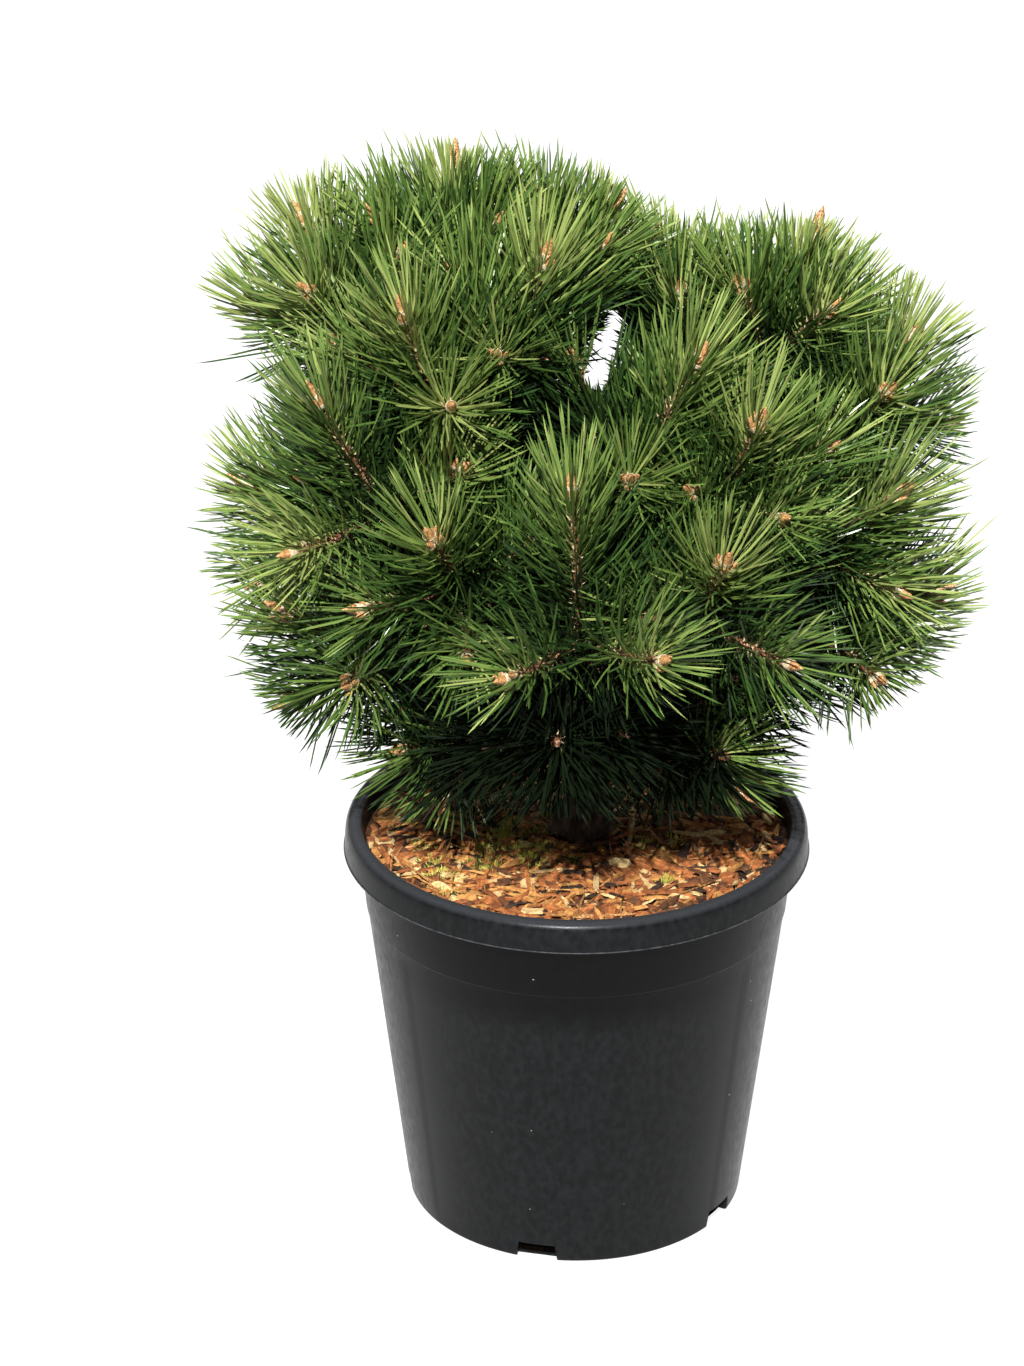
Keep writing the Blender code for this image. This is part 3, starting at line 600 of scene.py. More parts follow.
@dataclass(frozen=True)
class MouldedPolypropylene:
    """Black injection-moulded polypropylene: near black, satin, faintly dusty, with pale specks.

    The wall under the rim is darkened as painted shade, and the rim's crest is painted grey as a painted
    highlight.
    Heights are in metres above the pot's foot.
    """

    name: str = "moulded_black_polypropylene"
    body: str = "0E0F10"
    dusty: str = "1A1B1C"
    # Painted shade: the wall under the rim is multiplied by this grey
    painted_rim_shade: str = "606060"
    # Painted highlight: the grey of the rim's crest
    crest_highlight: str = "35373A"
    speck: str = "A9A9A4"
    top: float = 262.5 * MM
    rim_shade_low: float = 195.0 * MM
    rim_shade_high: float = 243.0 * MM
    crest_low: float = 259.0 * MM
    crest_high: float = 262.4 * MM
    dust_size: float = 4.0 * MM
    speck_spacing: float = 17.0 * MM
    speck_radius: float = 0.028
    grain: float = 0.7 * MM
    grain_depth: float = 0.05 * MM
    rim_shade_fade: float = 0.08
    rim_shade_edge: float = 0.003
    smooth: float = 0.28
    rough: float = 0.42
    polish: float = 0.10
    sheen: float = 0.14

    def material(self) -> Material:
        """The finish as a material.

        Returns:
            The material.
        """
        settings = {"IOR": 1.49, "Specular IOR Level": self.sheen}
        material = new_surface(self.name, settings)
        links, shader = material.node_tree.links, material.node_tree.nodes[SHADER]
        dust = grain_pattern(material, self.dust_size, 6.0, (1.0, 1.0, 0.6))
        place = add_node(material, "ShaderNodeTexCoord").outputs["Object"]
        height = add_node(material, "ShaderNodeSeparateXYZ", links={0: place}).outputs["Z"]
        # The crest's mask gives a painted highlight of grey in the colour, and polish in the roughness
        on_crest = {"From Min": self.crest_low, "From Max": self.crest_high}
        crest_highlight_and_polish = add_node(material, "ShaderNodeMapRange", on_crest, {"Value": height}).outputs["Result"]
        links.new(self.colour(material, dust, place, height, crest_highlight_and_polish), shader.inputs["Base Color"])
        satin = {"From Min": 0.3, "From Max": 0.7, "To Min": self.smooth, "To Max": self.rough}
        dulled = add_node(material, "ShaderNodeMapRange", satin, {"Value": dust}).outputs["Result"]
        polish = {"operation": "MULTIPLY_ADD", 1: -self.polish}
        rubbed = add_node(material, "ShaderNodeMath", polish, {0: crest_highlight_and_polish, 2: dulled})
        links.new(rubbed.outputs[0], shader.inputs["Roughness"])
        moulded = {"Strength": 1.0, "Distance": self.grain_depth}
        grain = {"Height": grain_pattern(material, self.grain, 3.0)}
        bump = add_node(material, "ShaderNodeBump", moulded, grain)
        links.new(bump.outputs["Normal"], shader.inputs["Normal"])
        return material

    def colour(
        self,
        material: Material,
        dust: Socket,
        place: Socket,
        height: Socket,
        crest_highlight_and_polish: Socket,
    ) -> Socket:
        """Dusty black, with painted shade under the rim and a painted highlight of grey on its crest, and
        flecked with pale specks.

        Args:
            material: the material.
            dust: how dusty a place is, from 0 to 1.
            place: Object coordinates.
            height: metres above the pot's foot.
            crest_highlight_and_polish: how much painted highlight and polish the crest gets there, from 0
                to 1.

        Returns:
            The colour's socket.
        """
        black = [(0.38, self.body), (0.68, self.dusty)]
        dusted = add_node(material, "ShaderNodeValToRGB", links={"Fac": dust}, stops=black)
        # Painted shade: the wall between these heights, under the rim's overhang, is multiplied darker
        rise = add_node(material, "ShaderNodeMapRange", {"From Max": self.top}, {"Value": height})
        risen = {"Fac": rise.outputs["Result"]}
        low, high = self.rim_shade_low / self.top, self.rim_shade_high / self.top
        shade = [
            (low - self.rim_shade_fade, "FFFFFF"),
            (low, self.painted_rim_shade),
            (high, self.painted_rim_shade),
            (high + self.rim_shade_edge, "FFFFFF"),
        ]
        painted_rim_shade = add_node(material, "ShaderNodeValToRGB", links=risen, stops=shade)
        kept = {"data_type": "RGBA", "blend_type": "MULTIPLY", 0: 1.0}
        layers = {6: dusted.outputs["Color"], 7: painted_rim_shade.outputs["Color"]}
        dust_and_rim_shade = add_node(material, "ShaderNodeMix", kept, layers)
        # Painted highlight: the crest turns grey
        painted_highlight = {"data_type": "RGBA", 7: srgb(self.crest_highlight)}
        highlighted = add_node(material, "ShaderNodeMix", painted_highlight, {0: crest_highlight_and_polish, 6: dust_and_rim_shade.outputs[2]})
        spacing = {"Scale": 1.0 / self.speck_spacing, "Randomness": 1.0}
        cells = add_node(material, "ShaderNodeTexVoronoi", spacing, {"Vector": place})
        near = {"operation": "LESS_THAN", 1: self.speck_radius}
        spot = add_node(material, "ShaderNodeMath", near, {0: cells.outputs["Distance"]})
        pale = {"data_type": "RGBA", 7: srgb(self.speck)}
        specked = add_node(material, "ShaderNodeMix", pale, {0: spot.outputs[0], 6: highlighted.outputs[2]})
        return specked.outputs[2]


@dataclass(frozen=True)
class Granular:
    """Loose organic matter: crumbs of this size in a dark and a light colour, wholly matt."""

    name: str
    dark: str
    light: str
    crumb: float
    gloss: float = 0.5
    roughness: float = 0.9
    depth_share: float = 0.3

    def material(self) -> Material:
        """The finish as a material.

        Returns:
            The material.
        """
        settings = {"Roughness": self.roughness, "IOR": 1.5, "Specular IOR Level": self.gloss}
        material = new_surface(self.name, settings)
        crumbs = grain_pattern(material, self.crumb, 4.0)
        stops = [(0.35, self.dark), (0.65, self.light)]
        return dress(material, crumbs, stops, crumbs, self.crumb * self.depth_share)


# The plant's skeleton, by the same rule as the solids
@dataclass(frozen=True)
class Mass:
    """One mass of foliage. Its knot and length are in centimetres and its angles in degrees."""

    parent: str
    fraction: float
    knot: tuple[float, float, float]
    azimuth: float
    elevation: float
    length: float
    side_shoots: int
    turn: float
    spread: float
    ratio: float


MASSES = {
    "left_crest": Mass("trunk", 1.00, (-8.0, 3.5, 60.5), 80, 72, 8.5, 4, 20, 48, 0.90),
    "left_brow": Mass("left_crest", 0.56, (-13.0, 1.5, 58.0), 165, 62, 9.5, 4, 60, 50, 0.90),
    "left_face": Mass("left_crest", 0.40, (-8.5, -5.5, 56.5), -116, 60, 9.5, 3, 30, 50, 0.80),
    "left_inner": Mass("left_crest", 0.64, (-4.0, -1.5, 58.0), -55, 66, 9.0, 3, 0, 50, 0.85),
    "left_peak": Mass("left_crest", 0.76, (-2.0, 4.0, 59.5), 25, 50, 8.0, 4, 30, 48, 0.90),
    "left_shoulder": Mass("left_crest", 0.25, (-11.4, -5.5, 49.5), -138, 58, 11.5, 3, 80, 55, 0.80),
    "left_flank": Mass("left_back", 0.46, (-14.0, 1.5, 45.5), 168, 20, 8.0, 4, 30, 50, 0.90),
    "left_hem": Mass("trunk", 0.50, (-11.8, -4.5, 40.0), -158, 30, 8.5, 4, 0, 50, 0.90),
    "left_front": Mass("left_hem", 0.40, (-6.5, -8.5, 46.0), -110, 42, 10.0, 4, 10, 48, 0.85),
    "front": Mass("trunk", 0.70, (0.1, -12.5, 44.3), -102, 72, 13.0, 4, 45, 68, 0.80),
    "front_hem": Mass("front", 0.30, (-1.0, -10.0, 38.0), -95, 12, 7.0, 4, 0, 50, 0.90),
    "right_front": Mass("right_hem", 0.34, (7.0, -9.5, 44.5), -78, 45, 10.0, 4, 20, 50, 0.90),
    "right_inner": Mass("right_crest", 0.36, (2.6, -5.0, 51.0), -42, 60, 12.5, 3, 0, 45, 0.75),
    "right_face": Mass("right_crest", 0.50, (8.5, -5.5, 50.5), -64, 56, 9.0, 4, 30, 50, 0.85),
    "right_peak": Mass("right_crest", 0.72, (6.5, 5.5, 55.0), 120, 68, 8.5, 3, 0, 45, 0.85),
    "right_crest": Mass("trunk", 0.85, (11.6, 4.5, 55.5), 34, 66, 9.5, 4, 40, 48, 0.80),
    "right_brow": Mass("right_crest", 0.62, (16.0, 2.5, 51.5), 20, 50, 8.5, 4, 0, 50, 0.90),
    "right_flank": Mass("right_hem", 0.50, (13.8, -3.5, 46.5), -25, 38, 8.5, 4, 30, 50, 0.90),
    "right_hem": Mass("trunk", 0.58, (14.8, -2.0, 40.5), -11, 22, 8.5, 4, 20, 52, 0.90),
    "skirt_left": Mass("trunk", 0.25, (-6.5, -4.0, 34.0), -140, 8, 6.5, 3, 10, 50, 0.80),
    "skirt_right": Mass("trunk", 0.30, (6.0, -5.5, 34.5), -60, 12, 7.0, 3, 40, 50, 0.80),
    "back_crest": Mass("left_crest", 0.48, (-9.0, 9.0, 54.0), 110, 60, 9.0, 4, 10, 50, 0.85),
    "left_back": Mass("trunk", 0.62, (-10.0, 10.0, 45.0), 128, 40, 9.0, 4, 40, 50, 0.90),
    "back": Mass("trunk", 0.78, (1.0, 10.5, 41.5), 88, 36, 8.5, 4, 0, 52, 0.90),
    "right_back": Mass("right_crest", 0.26, (10.5, 10.5, 46.0), 55, 42, 9.5, 4, 20, 50, 0.90),
    "back_hem_left": Mass("left_back", 0.28, (-7.0, 8.5, 37.5), 122, 14, 7.5, 4, 30, 50, 0.90),
    "back_hem_right": Mass("back", 0.30, (8.0, 7.5, 37.5), 45, 14, 8.5, 4, 10, 50, 0.90),
}


# The crown's outline from the front, on the upright plane through the pot's axis: x and z in centimetres
OUTLINE = (
    (25.6, 42.6),
    (25.2, 46.0),
    (23.8, 52.0),
    (24.3, 59.3),
    (21.8, 62.3),
    (17.2, 65.4),
    (11.6, 67.3),
    (6.3, 66.2),
    (3.5, 68.4),
    (0.5, 70.0),
    (-8.9, 71.4),
    (-14.9, 70.1),
    (-18.9, 68.4),
    (-23.2, 62.0),
    (-21.3, 58.0),
    (-23.0, 49.0),
    (-22.9, 40.5),
    (-18.0, 31.8),
    (-11.6, 25.6),
    (7.0, 26.5),
    (12.2, 26.5),
    (18.9, 33.2),
    (23.9, 38.3),
)

# Short twigs beside the gap between the lobes: limb, fraction, azimuth, elevation, length in centimetres
GAP_TWIGS = (
    ("right_inner", 1.00, 100.0, 74.0, 6.0),
    ("right_inner", 1.00, 40.0, 66.0, 6.5),
    ("right_inner", 0.85, 70.0, 80.0, 6.0),
    ("right_peak", 1.00, 215.0, 52.0, 5.0),
    ("right_peak", 0.85, 240.0, 46.0, 5.0),
    ("right_peak", 0.70, 200.0, 30.0, 4.5),
    ("right_peak", 0.95, 250.0, 66.0, 5.5),
    ("right_peak", 0.55, 210.0, 20.0, 4.5),
    ("left_inner", 0.90, -40.0, -6.0, 4.0),
    ("left_peak", 0.95, -20.0, -10.0, 3.5),
)


class Age(Enum):
    """How old a needled axis is: a leading shoot, a side shoot, a short fine twig or an older stem."""

    LEADER = "leader"
    SIDE = "side"
    FINE = "fine"
    STEM = "stem"


@dataclass(frozen=True)
class Axis:
    """One needled axis: the mass it belongs to, its age, its curve and the part of it with needles."""

    mass: str
    age: Age
    curve: Curve
    first: float = 0.0
    last: float = 1.0

    def length(self) -> float:
        """The straight distance from its root to its tip."""
        return float(np.linalg.norm(self.curve[2] - self.curve[0]))


@dataclass
class Skeleton:
    """Trunk, limbs and shoots. Sizes are in metres unless a comment says otherwise."""

    # Trunk points in centimetres: its foot, its bend and its fork
    trunk_bend: tuple = ((0.3, 0.3, 25.18), (0.9, 0.6, 31.0), (0.0, 0.4, 36.5))
    twig_radius: float = 3.6 * MM
    wood_power: float = 0.42
    taper_power: float = 0.8
    bough_tip: float = 0.92
    fork_swell: float = 1.25
    fork_bend: float = 0.42
    sag: float = 0.10
    belly: float = 0.12
    meets_mass: float = 0.62
    past_child: float = 0.10
    straight_parts: int = 8
    # Side shoots: how many places are tried, by how many degrees each may turn and lean, how
    # much it lifts and dips, its size, and from where to how far past its tip it is checked
    tries: int = 8
    turn_slack: float = 22.0
    lean_slack: float = 9.0
    lift: float = 0.10
    dip: float = 0.06
    sizes: tuple = (0.88, 1.08)
    checked: tuple = (0.3, 1.15, 6)
    pot_margin: float = 30.0 * MM
    stem_leafy: tuple = (0.38, 0.97)
    shoot_clearance: float = 9.0 * MM
    ground_height: float = 268.0 * MM
    ground_radius: float = 156.0 * MM
    # The gap between the lobes as seen from the front, and the viewer's eye, in centimetres
    gap_low: tuple = (1.0, 56.0)
    gap_high: tuple = (2.2, 60.0)
    gap_radius: float = 0.8
    needle_gap_radius: float = 0.45
    needle_gap_foot: float = 1.7
    eye: tuple = (-4.0, -271.0, 164.0)
    # The open mulch in front of the trunk: height, centre and half sizes, in centimetres
    mulch_height: float = 25.0
    open_mulch: tuple = (0.3, -4.3)
    open_reach: tuple = (9.2, 6.6)
    # The shade under the crown's front edge, in the same terms
    shade: tuple = (0.5, 8.5)
    shade_reach: tuple = (10.5, 8.5)
    # The middle that the crown's outline is measured from, in centimetres
    middle: tuple = (1.0, 46.0)
    bud_length: float = 15.0 * MM
    fine_twigs_per_stem: int = 9
    fine_first: float = 0.42
    fine_span: float = 0.52
    fine_forward: float = 0.55
    fine_lift: float = 0.25
    fine_lengths: tuple = (0.038, 0.058)
    fine_checked: tuple = (0.4, 1.3, 5)
    fine_clearance: float = 5.0 * MM
    curves: dict = field(default_factory=dict)

    def seen_upright(self, points: Array) -> Array:
        """Where the viewer sees each point on the upright plane y = 0, as x and z.

        Args:
            points: n by 3 points.

        Returns:
            n by 2 places.
        """
        eye = np.array(self.eye) * CM
        scale = eye[1] / (eye[1] - points[:, 1])
        return eye[None, ::2] + (points[:, ::2] - eye[None, ::2]) * scale[:, None]

    def seen_level(self, points: Array) -> Array:
        """Where the viewer sees each point on the level of the mulch, as x and y.

        Args:
            points: n by 3 points.

        Returns:
            n by 2 places.
        """
        eye = np.array(self.eye) * CM
        scale = (eye[2] - self.mulch_height * CM) / (eye[2] - points[:, 2])
        return eye[None, :2] + (points[:, :2] - eye[None, :2]) * scale[:, None]

    def in_sky_gap(self, points: Array, radius: float, foot: float = 1.0) -> Array:
        """Which points would close the gap between the two lobes, seen from the front.

        Args:
            points: n by 3 points.
            radius: how far round the top of its slanted line the gap reaches, in centimetres.
            foot: how many times wider it is at its foot.

        Returns:
            n truth values.
        """
        seen = self.seen_upright(points)
        low = np.array(self.gap_low) * CM
        along = np.array(self.gap_high) * CM - low
        t = np.clip((seen - low) @ along / (along @ along), 0.0, 1.0)
        reach = radius * CM * (foot + (1.0 - foot) * t)
        return np.linalg.norm(seen - low - t[:, None] * along, axis=1) < reach

    def in_ellipse(self, points: Array, centre: tuple, reach: tuple) -> Array:
        """Which points the viewer sees inside an ellipse on the mulch, given in centimetres."""
        place = (self.seen_level(points) - np.array(centre) * CM) / (np.array(reach) * CM)
        return np.linalg.norm(place, axis=1) < 1.0

    def hides_mulch(self, points: Array) -> Array:
        """Which points stand between the viewer and the open mulch."""
        return self.in_ellipse(points, self.open_mulch, self.open_reach)

    def in_shade(self, points: Array) -> Array:
        """Which points lie in the shade under the crown's front edge."""
        return self.in_ellipse(points, self.shade, self.shade_reach)

    def inside_outline(self, root: Array, tip: Array) -> Array:
        """How much of each needle stays inside the crown's outline, seen from the front.

        The outline is read as a distance from the crown's middle by angle. The share is
        (outline - root) / (tip - root), all three as distances at the tip's angle.

        Args:
            root: n by 3 roots.
            tip: n by 3 tips.

        Returns:
            n shares from 0 to 1.
        """
        middle = np.array(self.middle) * CM
        corners = np.array(OUTLINE) * CM - middle
        order = np.argsort(np.arctan2(corners[:, 1], corners[:, 0]))
        turns = np.arctan2(corners[order, 1], corners[order, 0])
        far = np.linalg.norm(corners[order], axis=1)
        from_root, from_tip = self.seen_upright(root) - middle, self.seen_upright(tip) - middle
        limit = np.interp(np.arctan2(from_tip[:, 1], from_tip[:, 0]), turns, far, period=2 * math.pi)
        near, out = np.linalg.norm(from_root, axis=1), np.linalg.norm(from_tip, axis=1)
        share = (limit - near) / np.maximum(out - near, 1e-4)
        return np.where(out > limit, np.clip(share, 0.0, 1.0), 1.0)

    def grow_limbs(self) -> None:
        """Work out the curve of the trunk and of each limb, by name."""
        self.curves = {"trunk": tuple(np.array(p) * CM for p in self.trunk_bend)}
        for name in MASSES:
            self.limb(name)

    def limb(self, name: str) -> Curve:
        """The curve of one limb, after its parent's.

        Args:
            name: the limb's name.

        Returns:
            Its start, bend and end.
        """
        if name in self.curves:
            return self.curves[name]
        mass = MASSES[name]
        parent = self.limb(mass.parent)
        start = curve_points(parent, [mass.fraction])[0]
        end = np.array(mass.knot) * CM
        reach = end - start
        length = np.linalg.norm(reach)
        if mass.fraction >= 1.0:
            bend = start + curve_tangents(parent, [1.0])[0] * length * self.fork_bend
        else:
            bend = start + reach / 2 + reach * (1.0, 1.0, 0.0) * self.belly
            bend = bend - np.array([0.0, 0.0, self.sag * length])
        self.curves[name] = (start, bend, end)
        return self.curves[name]

    def masses_fed(self, name: str) -> int:
        """How many masses the wood of this limb leads to.

        Args:
            name: the limb's name.

        Returns:
            The number of masses.
        """
        children = [child for child in MASSES if MASSES[child].parent == name]
        own = 0 if name == "trunk" else 1
        return own + sum(self.masses_fed(child) for child in children)

    def meeting_fraction(self, name: str) -> float:
        """The fraction along a limb's curve at which its bough ends and its mass's stem starts."""
        leaving = [mass.fraction for mass in MASSES.values() if mass.parent == name]
        return max([self.meets_mass] + [fraction + self.past_child for fraction in leaving])

    def limb_radius(self, name: str, t: Array) -> Array:
        """The radius at fractions t of a limb: the wood narrows from what it feeds to a twig.

        Args:
            name: the limb's name.
            t: fractions along its curve.

        Returns:
            A radius for each fraction.
        """
        thick = self.twig_radius * self.masses_fed(name) ** self.wood_power
        thin = self.twig_radius * self.bough_tip
        if name == "trunk":
            fed = self.masses_fed("left_crest")
            thin = self.twig_radius * fed**self.wood_power * self.fork_swell
        return thick + (thin - thick) * np.asarray(t, float) ** self.taper_power

    def limb_pieces(self) -> tuple[Array, Array, Array]:
        """Start, end and radius of each limb's straight parts.

        Returns:
            n by 3 starts, n by 3 ends and n radii.
        """
        starts, ends, reach = [], [], []
        for name, curve in self.curves.items():
            a, b = polyline(curve, self.straight_parts)
            starts.append(a)
            ends.append(b)
            reach.append(self.limb_radius(name, np.linspace(0.0, 1.0, self.straight_parts)))
        return np.concatenate(starts), np.concatenate(ends), np.concatenate(reach)

    def shoot_curve(self, knot: Array, heading: Array, length: float) -> Curve:
        """A shoot that leaves its knot a little low and turns up to its tip."""
        bend = knot + heading * length / 2 - np.array([0.0, 0.0, self.dip * length])
        return knot, bend, knot + heading * length

    def too_low(self, points: Array) -> bool:
        """Whether a shoot would come down over the pot."""
        near = np.linalg.norm(points[:, :2], axis=1).min() < self.ground_radius
        return bool(near and points[:, 2].min() < self.ground_height + self.pot_margin)

    def shoots(self) -> list[Axis]:
        """The leaders and the side shoots, each side shoot laid where it has most room.

        Returns:
            The same shoots as the solids have, in the same order.
        """
        found = []
        for name, mass in MASSES.items():
            aim = direction(mass.azimuth, mass.elevation)
            curve = self.shoot_curve(np.array(mass.knot) * CM, aim, mass.length * CM)
            found.append(Axis(name, Age.LEADER, curve))
        starts, ends, reach = self.limb_pieces()
        for index, (name, mass) in enumerate(MASSES.items()):
            rng = np.random.default_rng(SEED * 100 + index)
            knot = np.array(mass.knot) * CM
            heading = direction(mass.azimuth, mass.elevation)
            first, second = (v[0] for v in side_vectors(heading[None]))
            for j in range(mass.side_shoots):
                best = (-2.0, None)
                for _ in range(self.tries):
                    slack = rng.uniform(-self.turn_slack, self.turn_slack)
                    around = math.radians(mass.turn + 360.0 * j / mass.side_shoots + slack)
                    lean = math.radians(mass.spread + rng.uniform(-self.lean_slack, self.lean_slack))
                    side = first * math.cos(around) + second * math.sin(around)
                    aim = heading * math.cos(lean) + side * math.sin(lean)
                    aim = unit(aim + np.array([0, 0, self.lift]))
                    size = mass.length * CM * mass.ratio * rng.uniform(*self.sizes)
                    curve = self.shoot_curve(knot, aim, size)
                    points = curve_points(curve, np.linspace(*self.checked))
                    room = (segment_distance(points, starts, ends) - reach).min()
                    for other in found:
                        room = min(room, segment_distance(points, *polyline(other.curve, 3)).min())
                    if self.too_low(points) or self.in_sky_gap(points, self.gap_radius).any():
                        room = -1.0
                    if room > best[0]:
                        best = (room, curve)
                if best[0] > self.shoot_clearance:
                    found.append(Axis(name, Age.SIDE, best[1]))
        return found

    def stems(self) -> list[Axis]:
        """The outer part of each limb, which still holds older needles."""
        return [Axis(name, Age.STEM, self.curves[name], *self.stem_leafy) for name in MASSES]

    def fine_twigs(self, shoots: list[Axis]) -> list[Axis]:
        """Short twigs round each stem, inside the reach of the shoots.

        Args:
            shoots: the shoots that they keep off.

        Returns:
            The twigs that have room.
        """
        rng = np.random.default_rng(SEED + 1)
        found = []
        for name in MASSES:
            curve = self.curves[name]
            for j in range(self.fine_twigs_per_stem):
                place = (j + rng.uniform(0.1, 0.9)) / self.fine_twigs_per_stem
                t = self.fine_first + self.fine_span * place
                tangent = curve_tangents(curve, [t])
                first, second = side_vectors(tangent)
                around = GOLDEN_ANGLE * j + rng.uniform(-0.5, 0.5)
                side = first[0] * math.cos(around) + second[0] * math.sin(around)
                aim = unit(tangent[0] * self.fine_forward + side + np.array([0, 0, self.fine_lift]))
                length = rng.uniform(*self.fine_lengths)
                twig = self.shoot_curve(curve_points(curve, [t])[0], aim, length)
                points = curve_points(twig, np.linspace(*self.fine_checked))
                room = min(segment_distance(points, *polyline(other.curve, 3)).min() for other in shoots)
                closes = self.in_sky_gap(points, self.gap_radius).any() or self.hides_mulch(points).any()
                if room > self.fine_clearance and not self.too_low(points) and not closes:
                    found.append(Axis(name, Age.FINE, twig))
        for name, fraction, azimuth, elevation, length in GAP_TWIGS:
            start = curve_points(self.curves[name], [fraction])[0]
            twig = self.shoot_curve(start, direction(azimuth, elevation), length * CM)
            found.append(Axis(name, Age.FINE, twig))
        return found


# Wood
@dataclass
class Wood:
    """The trunk, the boughs and the twigs, with their bark in relief."""

    skeleton: Skeleton
    root_flare_radius: float = 21.0 * MM
    root_flare_height: float = 22.0 * MM
    root_lobes: int = 5
    trunk_sides: int = 72
    trunk_rows: int = 110
    bough_sides: int = 26
    bough_row: float = 2.6 * MM
    twig_sides: int = 8
    twig_row: float = 6.0 * MM
    knot_swell: float = 1.5
    flare_power: float = 1.3
    lobe_depth: float = 0.13
    trunk_plate: float = 9.0 * MM
    trunk_crack: float = 1.0 * MM
    bough_plate: float = 6.0 * MM
    bough_crack: float = 0.55 * MM
    past_meeting: float = 0.02
    # Relief: how the fields are drawn out upwards, how wide a crack is, and the size and weight
    # of the lumps and of the grain as shares of a plate and of a crack's depth
    drawn_out: tuple = (1.0, 1.0, 0.6)
    crack_width: float = 0.14
    lumps: tuple = (1.6, 0.5)
    grain: tuple = (0.35, 0.3)
    stumps: float = 0.14
    into_bud: float = 0.7
    # Radius at the root and at the tip of a shoot of each age, in millimetres
    radii: dict = field(
        default_factory=lambda: {Age.LEADER: (3.3, 2.6), Age.SIDE: (2.8, 2.2), Age.FINE: (2.0, 1.6)}
    )

    def bark_relief(self, points: Array, plate: float, depth: float, seed: int) -> Array:
        """How far the bark stands out: broad lumps and fine grain, less a crack wherever a
        third field passes through zero.

        Args:
            points: n by 3 places on the plain limb.
            plate: the width of a plate of bark.
            depth: the depth of a crack.
            seed: picks the fields.

        Returns:
            n heights.
        """
        drawn = points * np.array(self.drawn_out)
        lumps = value_noise(drawn, plate * self.lumps[0], seed) * self.lumps[1]
        grain = value_noise(drawn, plate * self.grain[0], seed + 1) * self.grain[1]
        crack = np.exp(-((value_noise(drawn, plate, seed + 2) / self.crack_width) ** 2))
        return depth * (lumps + grain - crack)

    def limb_shape(
        self,
        name: str,
        start: float,
        end: float,
        rows: int,
        sides: int,
        plate: float,
        depth: float,
    ) -> Shape:
        """Part of a limb with its bark: radius = the limb's own radius + the bark's relief.

        Args:
            name: the limb's name.
            start: the fraction of its curve that the part starts at.
            end: the fraction that it ends at.
            rows: rings along it.
            sides: corners of a ring.
            plate: the width of a plate of bark.
            depth: the depth of a crack.

        Returns:
            That part of the limb, closed at both ends.
        """
        curve = self.skeleton.curves[name]
        t = np.linspace(start, end, rows)
        centres, tangents = curve_points(curve, t), curve_tangents(curve, t)
        radii = np.repeat(self.skeleton.limb_radius(name, t)[:, None], sides, axis=1)
        plain = tube(centres, tangents, radii).points[: rows * sides]
        relief = self.bark_relief(plain, plate, depth, SEED + len(name)).reshape(rows, sides)
        return tube(centres, tangents, radii + relief)

    def trunk_shape(self) -> Shape:
        """The trunk: tapering wood plus a lobed root flare.

        The flare dies away as exp(-(rise / height)^power).

        Returns:
            The trunk, cut level at its foot.
        """
        curve = self.skeleton.curves["trunk"]
        t = np.linspace(0.0, 1.02, self.trunk_rows)
        centres, tangents = curve_points(curve, t), curve_tangents(curve, t)
        rise = np.maximum(centres[:, 2] - centres[0, 2], 0.0)
        flare = np.exp(-((rise / self.root_flare_height) ** self.flare_power))[:, None]
        thick = self.skeleton.limb_radius("trunk", np.minimum(t, 1.0))[:, None]
        around = 2 * math.pi * np.arange(self.trunk_sides) / self.trunk_sides
        lobes = 1.0 + self.lobe_depth * flare * np.cos(self.root_lobes * around)[None]
        radii = (thick + (self.root_flare_radius - thick[0]) * flare) * lobes
        plain = tube(centres, tangents, radii).points[: radii.size]
        relief = self.bark_relief(plain, self.trunk_plate, self.trunk_crack, SEED)
        relief = relief.reshape(radii.shape)
        shape = tube(centres, tangents, radii + relief)
        shape.points[:, 2] = np.maximum(shape.points[:, 2], centres[0, 2])
        return shape

    def bough_shapes(self) -> Shape:
        """Every bough from inside its parent to where its mass starts.

        Returns:
            All the boughs as one shape.
        """
        shapes = []
        for name in MASSES:
            curve = self.skeleton.curves[name]
            end = self.skeleton.meeting_fraction(name) + self.past_meeting
            length = np.linalg.norm(curve[2] - curve[0]) * end
            rows = max(12, round(length / self.bough_row))
            bark = (self.bough_plate, self.bough_crack)
            shapes.append(self.limb_shape(name, 0.0, end, rows, self.bough_sides, *bark))
        return Shape.joined(shapes)

    def twig_shape(self, axis: Axis, rng: np.random.Generator) -> Shape:
        """A twig whose skin is uneven with the stumps of scale leaves, by a random share of its
        radius at each corner.

        Args:
            axis: the twig's axis.
            rng: random numbers for the stumps.

        Returns:
            The closed twig.
        """
        start, end = 0.0, 1.0
        if axis.age is Age.STEM:
            start = self.skeleton.meeting_fraction(axis.mass)
            low, high = self.skeleton.limb_radius(axis.mass, [start])[0], self.skeleton.twig_radius
        else:
            low, high = (radius * MM for radius in self.radii[axis.age])
            end = 1.0 - self.skeleton.bud_length * self.into_bud / axis.length()
        rows = max(6, round(axis.length() * (end - start) / self.twig_row))
        t = np.linspace(start, end, rows)
        radii = np.repeat(np.linspace(low, high, rows)[:, None], self.twig_sides, axis=1)
        if axis.age is Age.STEM:
            radii[-2:] *= self.knot_swell
        radii = radii * (1.0 + rng.uniform(-self.stumps, self.stumps, radii.shape))
        return tube(curve_points(axis.curve, t), curve_tangents(axis.curve, t), radii)

